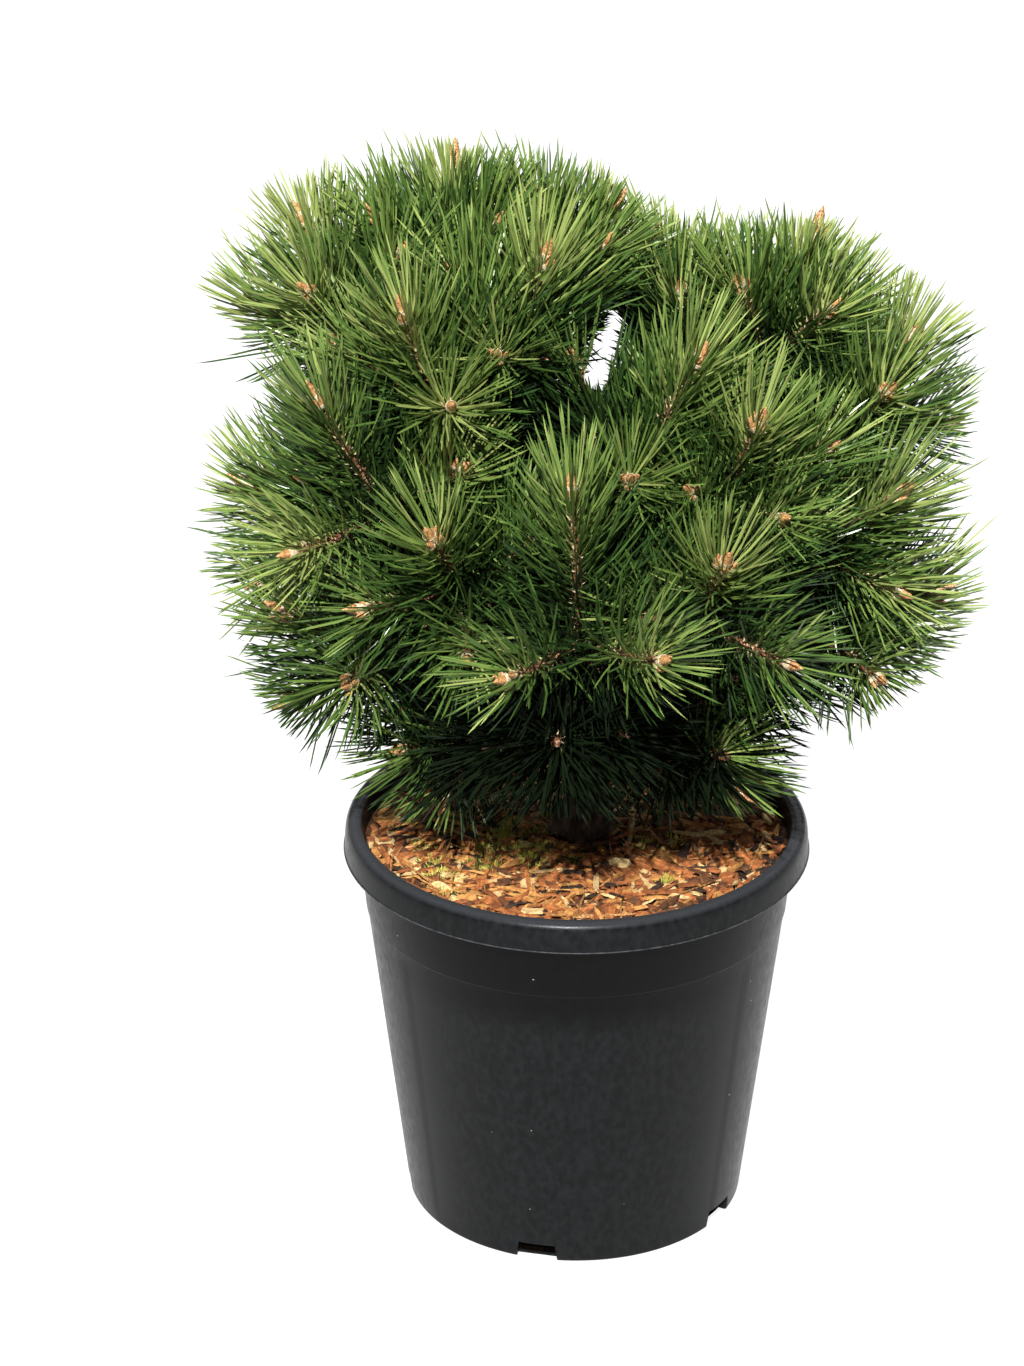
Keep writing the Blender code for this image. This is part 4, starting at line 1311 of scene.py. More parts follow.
    def build(self, axes: list[Axis]) -> None:
        """Make the trunk, bough and twig pieces.

        Args:
            axes: the needled axes that are twigs.
        """
        bark = ScalyBark().material()
        add_piece("trunk_bark", self.trunk_shape(), bark, ["trunk"])
        boughs = ["bough_" + name for name in MASSES]
        add_piece("bough_bark", self.bough_shapes(), bark, boughs)
        rng = np.random.default_rng(SEED + 2)
        twigs = Shape.joined([self.twig_shape(axis, rng) for axis in axes])
        add_piece("twig_bark", twigs, YoungBark().material(), [])


# Foliage
class Tone(Enum):
    """Lit and shaded copies of the needles' green, as painted light and shade from sunlit tips to the
    shaded inside: colour, roughness and gloss.
    """

    SUNLIT = ("96A45C", 0.34, 0.5)
    FRESH = ("6E8640", 0.34, 0.5)
    LEAFY = ("4C682E", 0.34, 0.5)
    DEEP = ("2D461E", 0.34, 0.5)
    SHADED = ("172910", 0.42, 0.4)
    INNER = ("0F1A0A", 0.7, 0.1)


@dataclass(frozen=True)
class Habit:
    """How the needles sit on an axis of one age. Pitches are in degrees from the axis."""

    per_metre: float
    pitch_low: float
    pitch_high: float
    length: float
    bare: float
    # Tones of painted shade for this age: darker for fine twigs and stems inside, lighter for leaders when
    # below zero
    painted_shade_shift: float


HABITS = {
    Age.LEADER: Habit(1290.0, 76.0, 35.0, 60.0 * MM, 0.06, -0.5),
    Age.SIDE: Habit(1230.0, 75.0, 37.0, 57.0 * MM, 0.12, -0.1),
    Age.FINE: Habit(1120.0, 67.0, 40.0, 50.0 * MM, 0.12, 2.4),
    Age.STEM: Habit(900.0, 84.0, 62.0, 50.0 * MM, 0.0, 3.0),
}


@dataclass
class Needles:
    """Many needles, each along root + length (aim u + bend u^2), for u from 0 to 1."""

    root: Array
    aim: Array
    bend: Array
    length: Array

    def at(self, u: float) -> Array:
        """The point of each needle at a fraction u of its length."""
        return self.root + (self.aim * u + self.bend * u * u) * self.length[:, None]

    def only(self, chosen: Array) -> Needles:
        """The needles that are chosen, by truth values."""
        return Needles(self.root[chosen], self.aim[chosen], self.bend[chosen], self.length[chosen])


@dataclass
class Foliage:
    """Needles in pairs, each pair out of a papery sheath, in a spiral round every axis."""

    skeleton: Skeleton
    width: float = 1.4 * MM
    thickness: float = 0.85 * MM
    half_angle: float = 7.5
    uplift: float = 0.30
    # Painted light along an axis: tips this many tones lighter than roots
    tip_light: float = 3.0
    shortest: float = 0.40
    sheath_length: float = 8.0 * MM
    sheath_radius: float = 1.35 * MM
    rings: tuple = (0.0, 0.5, 0.9)
    ring_width: tuple = (0.85, 1.0, 0.9)
    clear_height: float = 262.0 * MM
    clear_radius: float = 150.0 * MM
    clear_checked: tuple = (0.3, 0.6, 0.8, 1.0)
    short_of_gap: float = 0.06
    shaded_mass: str = "front_hem"
    # A knot farther than this from the middle belongs to a side, in centimetres
    middle_half: float = 7.5
    # Where the crown starts, how tall and how wide it is, and the share of both in the tone's painted
    # light and shade, paler up and outside
    crown_foot: float = 0.30
    crown_height: float = 0.38
    crown_reach: float = 0.22
    by_height: float = 0.6
    by_reach: float = 0.4
    darkest: float = 4.05
    light_range: float = 2.75
    axis_spread: float = 0.35
    needle_spread: float = 0.55
    # How needles sit: the gap under the bud in bud lengths, how the pitch falls, its spread in
    # degrees, the root's distance from the axis, lengths, and how much shorter the last ones are
    bud_gap: float = 1.15
    pitch_power: float = 0.8
    pitch_spread: float = 6.0
    root_offset: float = 1.4 * MM
    lengths: tuple = (0.84, 1.06)
    last_shorter: float = 0.26
    shorter_power: float = 2.5
    # How they bend, as shares of their length: along the axis, up, at random and apart
    sweep: float = 0.30
    lift: float = 0.08
    waver: float = 0.05
    splay: float = 0.35
    trim_spread: float = 0.09
    least_trim: float = 0.94
    # A needle's section: each corner across and up
    section: tuple = ((-0.5, -0.35), (0.5, -0.35), (0.0, 0.65))
    needles: dict = field(default_factory=dict)
    sheaths: dict = field(default_factory=dict)

    def region(self, mass: str) -> str:
        """The side of the crown that a mass belongs to, by where its knot is.

        Args:
            mass: the mass's name.

        Returns:
            left, middle or right.
        """
        x = MASSES[mass].knot[0]
        if x < -self.middle_half:
            return "left"
        if x > self.middle_half:
            return "right"
        return "middle"

    def axis_tone(self, axis: Axis, rng: np.random.Generator) -> float:
        """The number of an axis's tone, as painted light and shade: paler up and outside, darker low and
        inside.

        Args:
            axis: the axis.
            rng: its own random numbers.

        Returns:
            0 for the sunlit tone, and upwards.
        """
        tip = axis.curve[2]
        height = (tip[2] - self.crown_foot) / self.crown_height
        outward = np.linalg.norm(tip[:2]) / self.crown_reach
        tone = self.darkest - self.light_range * (self.by_height * height + self.by_reach * outward)
        return tone + HABITS[axis.age].painted_shade_shift + rng.normal(0.0, self.axis_spread)

    def grow(self, axis: Axis, rng: np.random.Generator) -> None:
        """Lay one axis's needles and sheaths.

        A pair's root turns by the golden angle from one to the next. Its aim is tangent times
        cos(pitch) + outward times sin(pitch), with the pitch falling from root to tip.

        Args:
            axis: the axis.
            rng: its own random numbers.
        """
        habit = HABITS[axis.age]
        leafy_end = axis.last
        if axis.age is not Age.STEM:
            leafy_end = 1.0 - self.skeleton.bud_length * self.bud_gap / axis.length()
        start = axis.first + habit.bare * (leafy_end - axis.first)
        count = int(axis.length() * (leafy_end - start) * habit.per_metre)
        share = (np.arange(count) + rng.uniform(0, 1, count)) / count
        t = start + (leafy_end - start) * share
        tangent = curve_tangents(axis.curve, t)
        first, second = side_vectors(tangent)
        angle = GOLDEN_ANGLE * np.arange(count) + rng.uniform(0, 2 * math.pi)
        outward = first * np.cos(angle)[:, None] + second * np.sin(angle)[:, None]
        pitch = habit.pitch_low + (habit.pitch_high - habit.pitch_low) * share**self.pitch_power
        pitch = np.radians(pitch + rng.normal(0, self.pitch_spread, count))[:, None]
        rise = self.uplift * math.sin(math.radians(MASSES[axis.mass].elevation))
        aim = unit(tangent * np.cos(pitch) + outward * np.sin(pitch) + np.array([0.0, 0.0, rise]))
        root = curve_points(axis.curve, t) + outward * self.root_offset
        shorter = 1.0 - self.last_shorter * share**self.shorter_power
        length = habit.length * rng.uniform(*self.lengths, count) * shorter
        apart = unit(np.cross(aim, rng.normal(0, 1, (count, 3))))
        apart = apart * math.tan(math.radians(self.half_angle))
        # Painted light and shade: tips lighter, roots darker, and needles in the shade under the crown's
        # front edge or on the shaded mass take the darkest tone
        tone = self.axis_tone(axis, rng) + self.tip_light * (0.5 - share)
        tone = tone + rng.normal(0, self.needle_spread, count)
        tone = np.clip(np.rint(tone), 0, len(Tone) - 1)
        shared = tangent * self.sweep + np.array([0, 0, self.lift])
        shared = shared + rng.normal(0, self.waver, (count, 3))
        tip = root + (aim + shared) * length[:, None]
        shaded = np.full(count, axis.mass == self.shaded_mass)
        for points in (tip, (root + tip) / 2):
            shaded |= self.skeleton.in_shade(points)
        tone = np.where(shaded, len(Tone) - 1, tone)
        sheathed = np.zeros(count, bool)
        for side in (-1.0, 1.0):
            bend = shared + side * apart * self.splay
            pair = Needles(root, unit(aim + side * apart), bend, length)
            share = self.free_share(pair)
            uneven = share * rng.normal(1.0, self.trim_spread, count)
            trimmed = length * np.where(share < 1.0, uneven, 1.0)
            pair.length = trimmed * rng.uniform(self.least_trim, 1.0, count)
            keep = (share > self.shortest) & self.clears_pot(pair)
            facing = rng.normal(0, 1, (count, 3))
            sheathed |= keep
            for number, name in enumerate(Tone):
                chosen = keep & (tone == number)
                if chosen.any():
                    group = self.needles.setdefault((self.region(axis.mass), name), [])
                    group.append(self.needle_shapes(pair.only(chosen), facing[chosen]))
        sheaths = self.sheath_shapes(root[sheathed], aim[sheathed], rng)
        self.sheaths.setdefault(self.region(axis.mass), []).append(sheaths)

    def free_share(self, needles: Needles) -> Array:
        """How much of each needle may grow before it leaves the outline or closes an opening.

        Args:
            needles: n needles at their full length.

        Returns:
            n shares from 0 to 1.
        """
        share = self.skeleton.inside_outline(needles.root, needles.at(1.0))
        gap = (self.skeleton.needle_gap_radius, self.skeleton.needle_gap_foot)
        for u in np.linspace(1.0, 0.1, 10):
            points = needles.at(u)
            closes = self.skeleton.in_sky_gap(points, *gap) | self.skeleton.hides_mulch(points)
            share = np.where(closes, np.minimum(share, u - self.short_of_gap), share)
        return share

    def clears_pot(self, needles: Needles) -> Array:
        """Which needles stay above the pot and the mulch or outside them.

        Args:
            needles: n needles.

        Returns:
            n truth values.
        """
        clear = np.ones(len(needles.root), bool)
        for u in self.clear_checked:
            points = needles.at(u)
            radius = np.linalg.norm(points[:, :2], axis=1)
            clear &= (points[:, 2] > self.clear_height) | (radius > self.clear_radius)
        return clear

    def needle_shapes(self, needles: Needles, facing: Array) -> Shape:
        """Needles with a flat inner face and a ridged back: three corners to a ring, and a point.

        Args:
            needles: n needles.
            facing: n by 3 vectors that each flat face turns to.

        Returns:
            All the needles as one shape.
        """
        side = unit(np.cross(needles.aim, facing))
        back = np.cross(side, needles.aim)
        columns = []
        for u, wide in zip(self.rings, self.ring_width):
            middle = needles.at(u)
            for across, up in self.section:
                corner = side * (across * wide * self.width) + back * (up * wide * self.thickness)
                columns.append(middle + corner)
        columns.append(needles.at(1.0))
        points = np.stack(columns, axis=1)
        faces = [(2, 1, 0)]
        for row in range(len(self.rings) - 1):
            for k in range(3):
                a, b = row * 3 + k, row * 3 + (k + 1) % 3
                faces.extend([(a, b, b + 3), (a, b + 3, a + 3)])
        point = len(columns) - 1
        faces.extend((point - 3 + k, point - 3 + (k + 1) % 3, point) for k in range(3))
        firsts = np.arange(len(points)) * len(columns)
        triangles = np.array(faces)[None] + firsts[:, None, None]
        return Shape(points.reshape(-1, 3), triangles.reshape(-1, 3))

    def sheath_shapes(self, root: Array, aim: Array, rng: np.random.Generator) -> Shape:
        """Three-sided papery sheaths that narrow to a point between the two needles.

        Args:
            root: n by 3 roots.
            aim: n by 3 unit directions.
            rng: random numbers for sizes and turns.

        Returns:
            All the sheaths as one shape.
        """
        template = spike()
        count = len(root)
        size = np.array([self.sheath_radius, self.sheath_radius, self.sheath_length])
        sizes = size * rng.uniform(0.8, 1.2, (count, 1))
        return placed_copies(template, root, frames_along(aim, rng.uniform(0, 6.28, count)), sizes)

    def build(self, axes: list[Axis]) -> None:
        """Grow every axis and make a piece for each tone on each side of the crown.

        Args:
            axes: the needled axes.
        """
        for number, axis in enumerate(axes):
            self.grow(axis, np.random.default_rng(SEED * 1000 + number))
        greens = {tone: NeedleCuticle(tone.name.lower(), *tone.value).material() for tone in Tone}
        groups = sorted(self.needles.items(), key=lambda item: (item[0][0], item[0][1].name))
        for (region, tone), shapes in groups:
            solids = ["needles_" + name for name in MASSES if self.region(name) == region]
            name = f"needles_{region}_{tone.name.lower()}"
            add_piece(name, Shape.joined(shapes), greens[tone], solids, smooth=False)
        papery = DryScale("papery_needle_sheath", "6B4E32", "CDB88F", 0.7).material()
        for region, shapes in sorted(self.sheaths.items()):
            add_piece("sheaths_" + region, Shape.joined(shapes), papery, [])


@dataclass
class Buds:
    """Resinous winter buds: one at each shoot's tip with smaller ones round it."""

    skeleton: Skeleton
    sides: int = 8
    rows: int = 6
    radius: float = 3.7 * MM
    around: dict = field(default_factory=lambda: {Age.LEADER: 5, Age.SIDE: 3})
    belly_power: float = 0.65
    round_power: float = 0.75
    scale_lift: float = 0.14
    # The orange part and the pale foot overlap between these fractions
    tip_from: float = 0.34
    foot_to: float = 0.48
    foot_swell: float = 1.06
    lengths: tuple = (1.05, 1.45)
    on_side_shoot: float = 0.85
    # Smaller buds: how far they stand beside and behind, how they lean out, and their size
    beside: float = 3.0 * MM
    behind: float = 2.0 * MM
    lean: tuple = (0.2, 0.45)
    small: tuple = (0.6, 0.8)
    small_length: float = 0.95

    def template(self, low: float, high: float) -> Shape:
        """A part of a bud between two fractions of its length.

        Its radius is sin(pi u^belly)^round, lifted at each second ring, so that overlapping
        scales show.

        Args:
            low: the fraction that the part starts at.
            high: the fraction that it ends at.

        Returns:
            The part, on an axis one unit long.
        """
        u = np.linspace(low, high, self.rows)
        radius = np.sin(math.pi * np.clip(u, 0.02, 0.98) ** self.belly_power) ** self.round_power
        column = np.arange(self.sides)[None] + 0.5 * np.arange(self.rows)[:, None]
        turn = 2 * math.pi * column / self.sides
        lift = 1.0 + self.scale_lift * (np.arange(self.rows) % 2)[:, None]
        radius = radius[:, None] * lift
        height = np.broadcast_to(u[:, None], turn.shape)
        rings = np.stack([np.cos(turn) * radius, np.sin(turn) * radius, height], axis=-1)
        return closed_grid(rings, np.array([0.0, 0.0, low]), np.array([0.0, 0.0, high]))

    def build(self, axes: list[Axis]) -> None:
        """Make the orange tips and the pale resinous feet of all the buds.

        Args:
            axes: the shoots that end in buds.
        """
        rng = np.random.default_rng(SEED + 3)
        origins, aims, sizes = [], [], []
        for axis in axes:
            aim = curve_tangents(axis.curve, [1.0])[0]
            length = self.skeleton.bud_length * rng.uniform(*self.lengths)
            scale = 1.0 if axis.age is Age.LEADER else self.on_side_shoot
            if self.skeleton.in_shade(axis.curve[2][None])[0]:
                continue
            foot = axis.curve[2] - aim * self.skeleton.bud_length
            origins.append(foot)
            aims.append(aim)
            sizes.append((self.radius * scale, self.radius * scale, length * scale))
            first, second = (v[0] for v in side_vectors(aim[None]))
            count = self.around[axis.age]
            for j in range(rng.integers(0, count + 1)):
                turn = 2 * math.pi * j / count + rng.uniform(-0.4, 0.4)
                side = first * math.cos(turn) + second * math.sin(turn)
                origins.append(foot + side * self.beside - aim * self.behind)
                aims.append(unit(aim + side * rng.uniform(*self.lean)))
                small = rng.uniform(*self.small) * scale
                thick = self.radius * small
                sizes.append((thick, thick, length * small * self.small_length))
        origins, aims, sizes = np.array(origins), unit(np.array(aims)), np.array(sizes)
        frames = frames_along(aims, rng.uniform(0, 6.28, len(aims)))
        tips = placed_copies(self.template(self.tip_from, 1.0), origins, frames, sizes)
        sizes = sizes * np.array([self.foot_swell, self.foot_swell, 1.0])
        feet = placed_copies(self.template(0.0, self.foot_to), origins, frames, sizes)
        orange = DryScale("resinous_bud_scale", "8E5A34", "D6A46C", 0.5).material()
        cream = DryScale("resin_bloom", "C9AE86", "F0E2C4", 0.55).material()
        add_piece("bud_tips", tips, orange, [])
        add_piece("bud_feet", feet, cream, [])


# Pot and what fills it
@dataclass
class Pot:
    """The black nursery pot: a tapered wall in shallow panels, a raised band and a rolled rim."""

    base_radius: float = 107.5 * MM
    wall: float = 2.6 * MM
    floor: float = 4.0 * MM
    band_height: float = 205.5 * MM
    band_radius: float = 132.8 * MM
    band_step: float = 0.8 * MM
    wall_top_height: float = 256.0 * MM
    wall_top_radius: float = 138.4 * MM
    rim_height: float = 262.5 * MM
    rim_inner_radius: float = 136.0 * MM
    skirt_radius: float = 147.0 * MM
    skirt_low: float = 243.5 * MM
    skirt_wall: float = 1.8 * MM
    skirt_draft: float = 1.2 * MM
    rim_thickness: float = 4.0 * MM
    outer_fillet: float = 7.5 * MM
    inner_fillet: float = 3.4 * MM
    # A fillet takes at most this share of a side, in this many points
    fillet_share: float = 0.45
    fillet_points: int = 6
    # The section starts and ends at this radius, and its rings stand at most this far apart
    axis_gap: float = 0.09
    longest_row: float = 14.0 * MM
    columns: int = 240
    panel_azimuth: float = -74.0
    panel_count: int = 10
    panel_depth: float = 0.45 * MM
    panel_edge: float = 2.2
    # Panels fade in over these heights, and only the wall within this reach of its cone has them
    panel_low: float = 1.0 * MM
    panel_fade: float = 3.0 * MM
    wall_reach: float = 0.3 * MM
    notch_count: int = 5
    notch_width: float = 27.0 * MM
    notch_height: float = 12.0 * MM
    notch_depth: float = 6.5 * MM
    notch_azimuth: float = -103.5
    notch_tapers: tuple = (0.5, 0.44)
    cut_below: float = 2.0 * MM
    cut_beyond: float = 10.0 * MM
    lip_radius: float = 0.5 * MM
    lip_sides: int = 6
    sharp_angle: float = 28.0

    def inner_radius(self, height: float) -> float:
        """The radius of the inner wall at a height, straight from floor to rim.

        Args:
            height: metres above the pot's foot.

        Returns:
            The radius in metres.
        """
        bottom = self.base_radius - self.wall
        share = (height - self.floor) / (self.rim_height - self.rim_thickness - self.floor)
        return bottom + (self.rim_inner_radius - bottom) * share

    def corners(self) -> list[tuple[float, float, float]]:
        """The section's corners as radius, height and fillet, from the axis out, up and back in.

        Returns:
            The corners in order.
        """
        skirt_inside = self.skirt_radius - self.skirt_wall
        return [
            (self.base_radius, 0.0, 2.5 * MM),
            (self.band_radius, self.band_height, 0.4 * MM),
            (self.band_radius + self.band_step, self.band_height + self.band_step * 0.6, 0.4 * MM),
            (self.wall_top_radius, self.wall_top_height, 1.5 * MM),
            (skirt_inside - 0.8 * MM, self.wall_top_height + 1.2 * MM, 1.5 * MM),
            (skirt_inside, self.skirt_low, 0.5 * MM),
            (self.skirt_radius, self.skirt_low, 0.5 * MM),
            (self.skirt_radius - self.skirt_draft, self.rim_height, self.outer_fillet),
            (self.rim_inner_radius - 0.3 * MM, self.rim_height, self.inner_fillet),
            (self.inner_radius(self.floor), self.floor, 2.0 * MM),
        ]

    def rounded(self, corners: list[tuple[float, float, float]]) -> Array:
        """The section with its corners rounded by quadratic arcs, each fillet long on either side.

        Args:
            corners: radius, height and fillet of each corner.

        Returns:
            The section's points, n by 2.
        """
        before, after = np.array((self.axis_gap, 0.0)), np.array((self.axis_gap, self.floor))
        path = [before] + [np.array(c[:2]) for c in corners] + [after]
        points = []
        u = np.linspace(0.0, 1.0, self.fillet_points)[:, None]
        for index, (_, _, fillet) in enumerate(corners, start=1):
            here = path[index]
            back, ahead = path[index - 1] - here, path[index + 1] - here
            behind, beyond = np.linalg.norm(back), np.linalg.norm(ahead)
            start = here + back / behind * min(fillet, behind * self.fillet_share)
            end = here + ahead / beyond * min(fillet, beyond * self.fillet_share)
            points.append((1 - u) ** 2 * start + 2 * u * (1 - u) * here + u**2 * end)
        return np.concatenate(points)

    def shape(self) -> Shape:
        """The pot as a surface of height and angle: the section turned about the axis, with the
        outer wall set back by a panel depth between alternate panel edges.

        Returns:
            The pot before its notches are cut.
        """
        section = self.rounded(self.corners())
        extra = []
        for low, high in zip(section[:-1], section[1:]):
            parts = max(1, round(np.linalg.norm(high - low) / self.longest_row))
            extra.append(low + (high - low) * (np.arange(parts) / parts)[:, None])
        section = np.concatenate([*extra, section[-1:]])
        radius, height = section[:, 0], section[:, 1]
        angle = 2 * math.pi * np.arange(self.columns) / self.columns
        turn = np.degrees(angle) - self.panel_azimuth
        width = 360.0 / self.panel_count
        phase = np.mod(turn, 2 * width)
        panel = smooth_step(phase / self.panel_edge) - smooth_step((phase - width) / self.panel_edge)
        wall = self.base_radius + (self.band_radius - self.base_radius) * height / self.band_height
        outer = (np.abs(radius - wall) < self.wall_reach) & (height < self.band_height - 0.5 * MM)
        depth = self.panel_depth * outer * smooth_step((height - self.panel_low) / self.panel_fade)
        turned = radius[:, None] - depth[:, None] * panel[None]
        level = np.broadcast_to(height[:, None], turned.shape)
        rings = np.stack([turned * np.cos(angle), turned * np.sin(angle), level], axis=-1)
        return closed_grid(rings, np.zeros(3), np.array([0.0, 0.0, self.floor]))

    def lip_shape(self) -> Shape:
        """The fine bead along the skirt's lower edge, grey as a painted highlight: a circle turned about
        the axis.

        Returns:
            The bead as a closed ring.
        """
        turn = 2 * math.pi * np.arange(self.columns) / self.columns
        around = 2 * math.pi * np.arange(self.lip_sides) / self.lip_sides
        radius = self.skirt_radius + self.lip_radius * np.cos(around)[None]
        height = self.skirt_low + self.lip_radius * (1.0 + np.sin(around))
        points = [radius * np.cos(turn)[:, None], radius * np.sin(turn)[:, None]]
        points.append(np.broadcast_to(height[None], points[0].shape))
        index = np.arange(points[0].size).reshape(points[0].shape)
        ahead, beside = np.roll(index, -1, 0), np.roll(index, -1, 1)
        quads = np.stack([index, ahead, np.roll(ahead, -1, 1), beside], axis=-1).reshape(-1, 4)
        return Shape(np.stack(points, axis=-1).reshape(-1, 3), quads_to_triangles(quads))

    def notch_shape(self) -> Shape:
        """The blocks that cut the drainage notches, each a little narrower at its top.

        Returns:
            All the blocks as one shape.
        """
        faces = [(3, 2, 1, 0), (4, 5, 6, 7), (0, 1, 5, 4), (1, 2, 6, 5), (2, 3, 7, 6), (3, 0, 4, 7)]
        blocks = []
        for k in range(self.notch_count):
            angle = math.radians(self.notch_azimuth + 360.0 * k / self.notch_count)
            outward = np.array([math.cos(angle), math.sin(angle), 0.0])
            across = np.array([-math.sin(angle), math.cos(angle), 0.0])
            near, far = self.base_radius - self.notch_depth, self.base_radius + self.cut_beyond
            corners = []
            for height, taper in zip((-self.cut_below, self.notch_height), self.notch_tapers):
                for depth, side in ((near, -1), (far, -1), (far, 1), (near, 1)):
                    place = outward * depth + across * side * taper * self.notch_width
                    corners.append(place + (0, 0, height))
            blocks.append(Shape(np.array(corners), quads_to_triangles(np.array(faces))))
        return Shape.joined(blocks)

    def build(self) -> None:
        """Make the pot and cut its notches."""
        pot = add_piece("nursery_pot", self.shape(), MouldedPolypropylene().material(), ["pot"])
        mesh = bpy.data.meshes.new("notches")
        blocks = self.notch_shape()
        mesh.from_pydata(blocks.points.tolist(), [], blocks.triangles.tolist())
        cutter = bpy.data.objects.new("notches", mesh)
        bpy.context.scene.collection.objects.link(cutter)
        cut = pot.modifiers.new("notches", "BOOLEAN")
        cut.operation = "DIFFERENCE"
        cut.solver = "EXACT"
        cut.object = cutter
        bpy.context.view_layer.update()
        cut_pot = pot.evaluated_get(bpy.context.evaluated_depsgraph_get())
        result = bpy.data.meshes.new_from_object(cut_pot)
        pot.modifiers.clear()
        pot.data = result
        bpy.data.objects.remove(cutter)
        pot.data.shade_smooth()
        pot.data.set_sharp_from_angle(angle=math.radians(self.sharp_angle))
        # Painted highlight: the bead is grey, a bright line along the skirt's lower edge
        grey = {"body": "303234", "dusty": "4C4E50", "sheen": 0.08}
        painted_highlight = MouldedPolypropylene("scuffed_black_polypropylene", **grey).material()
        add_piece("rim_lip", self.lip_shape(), painted_highlight, [])


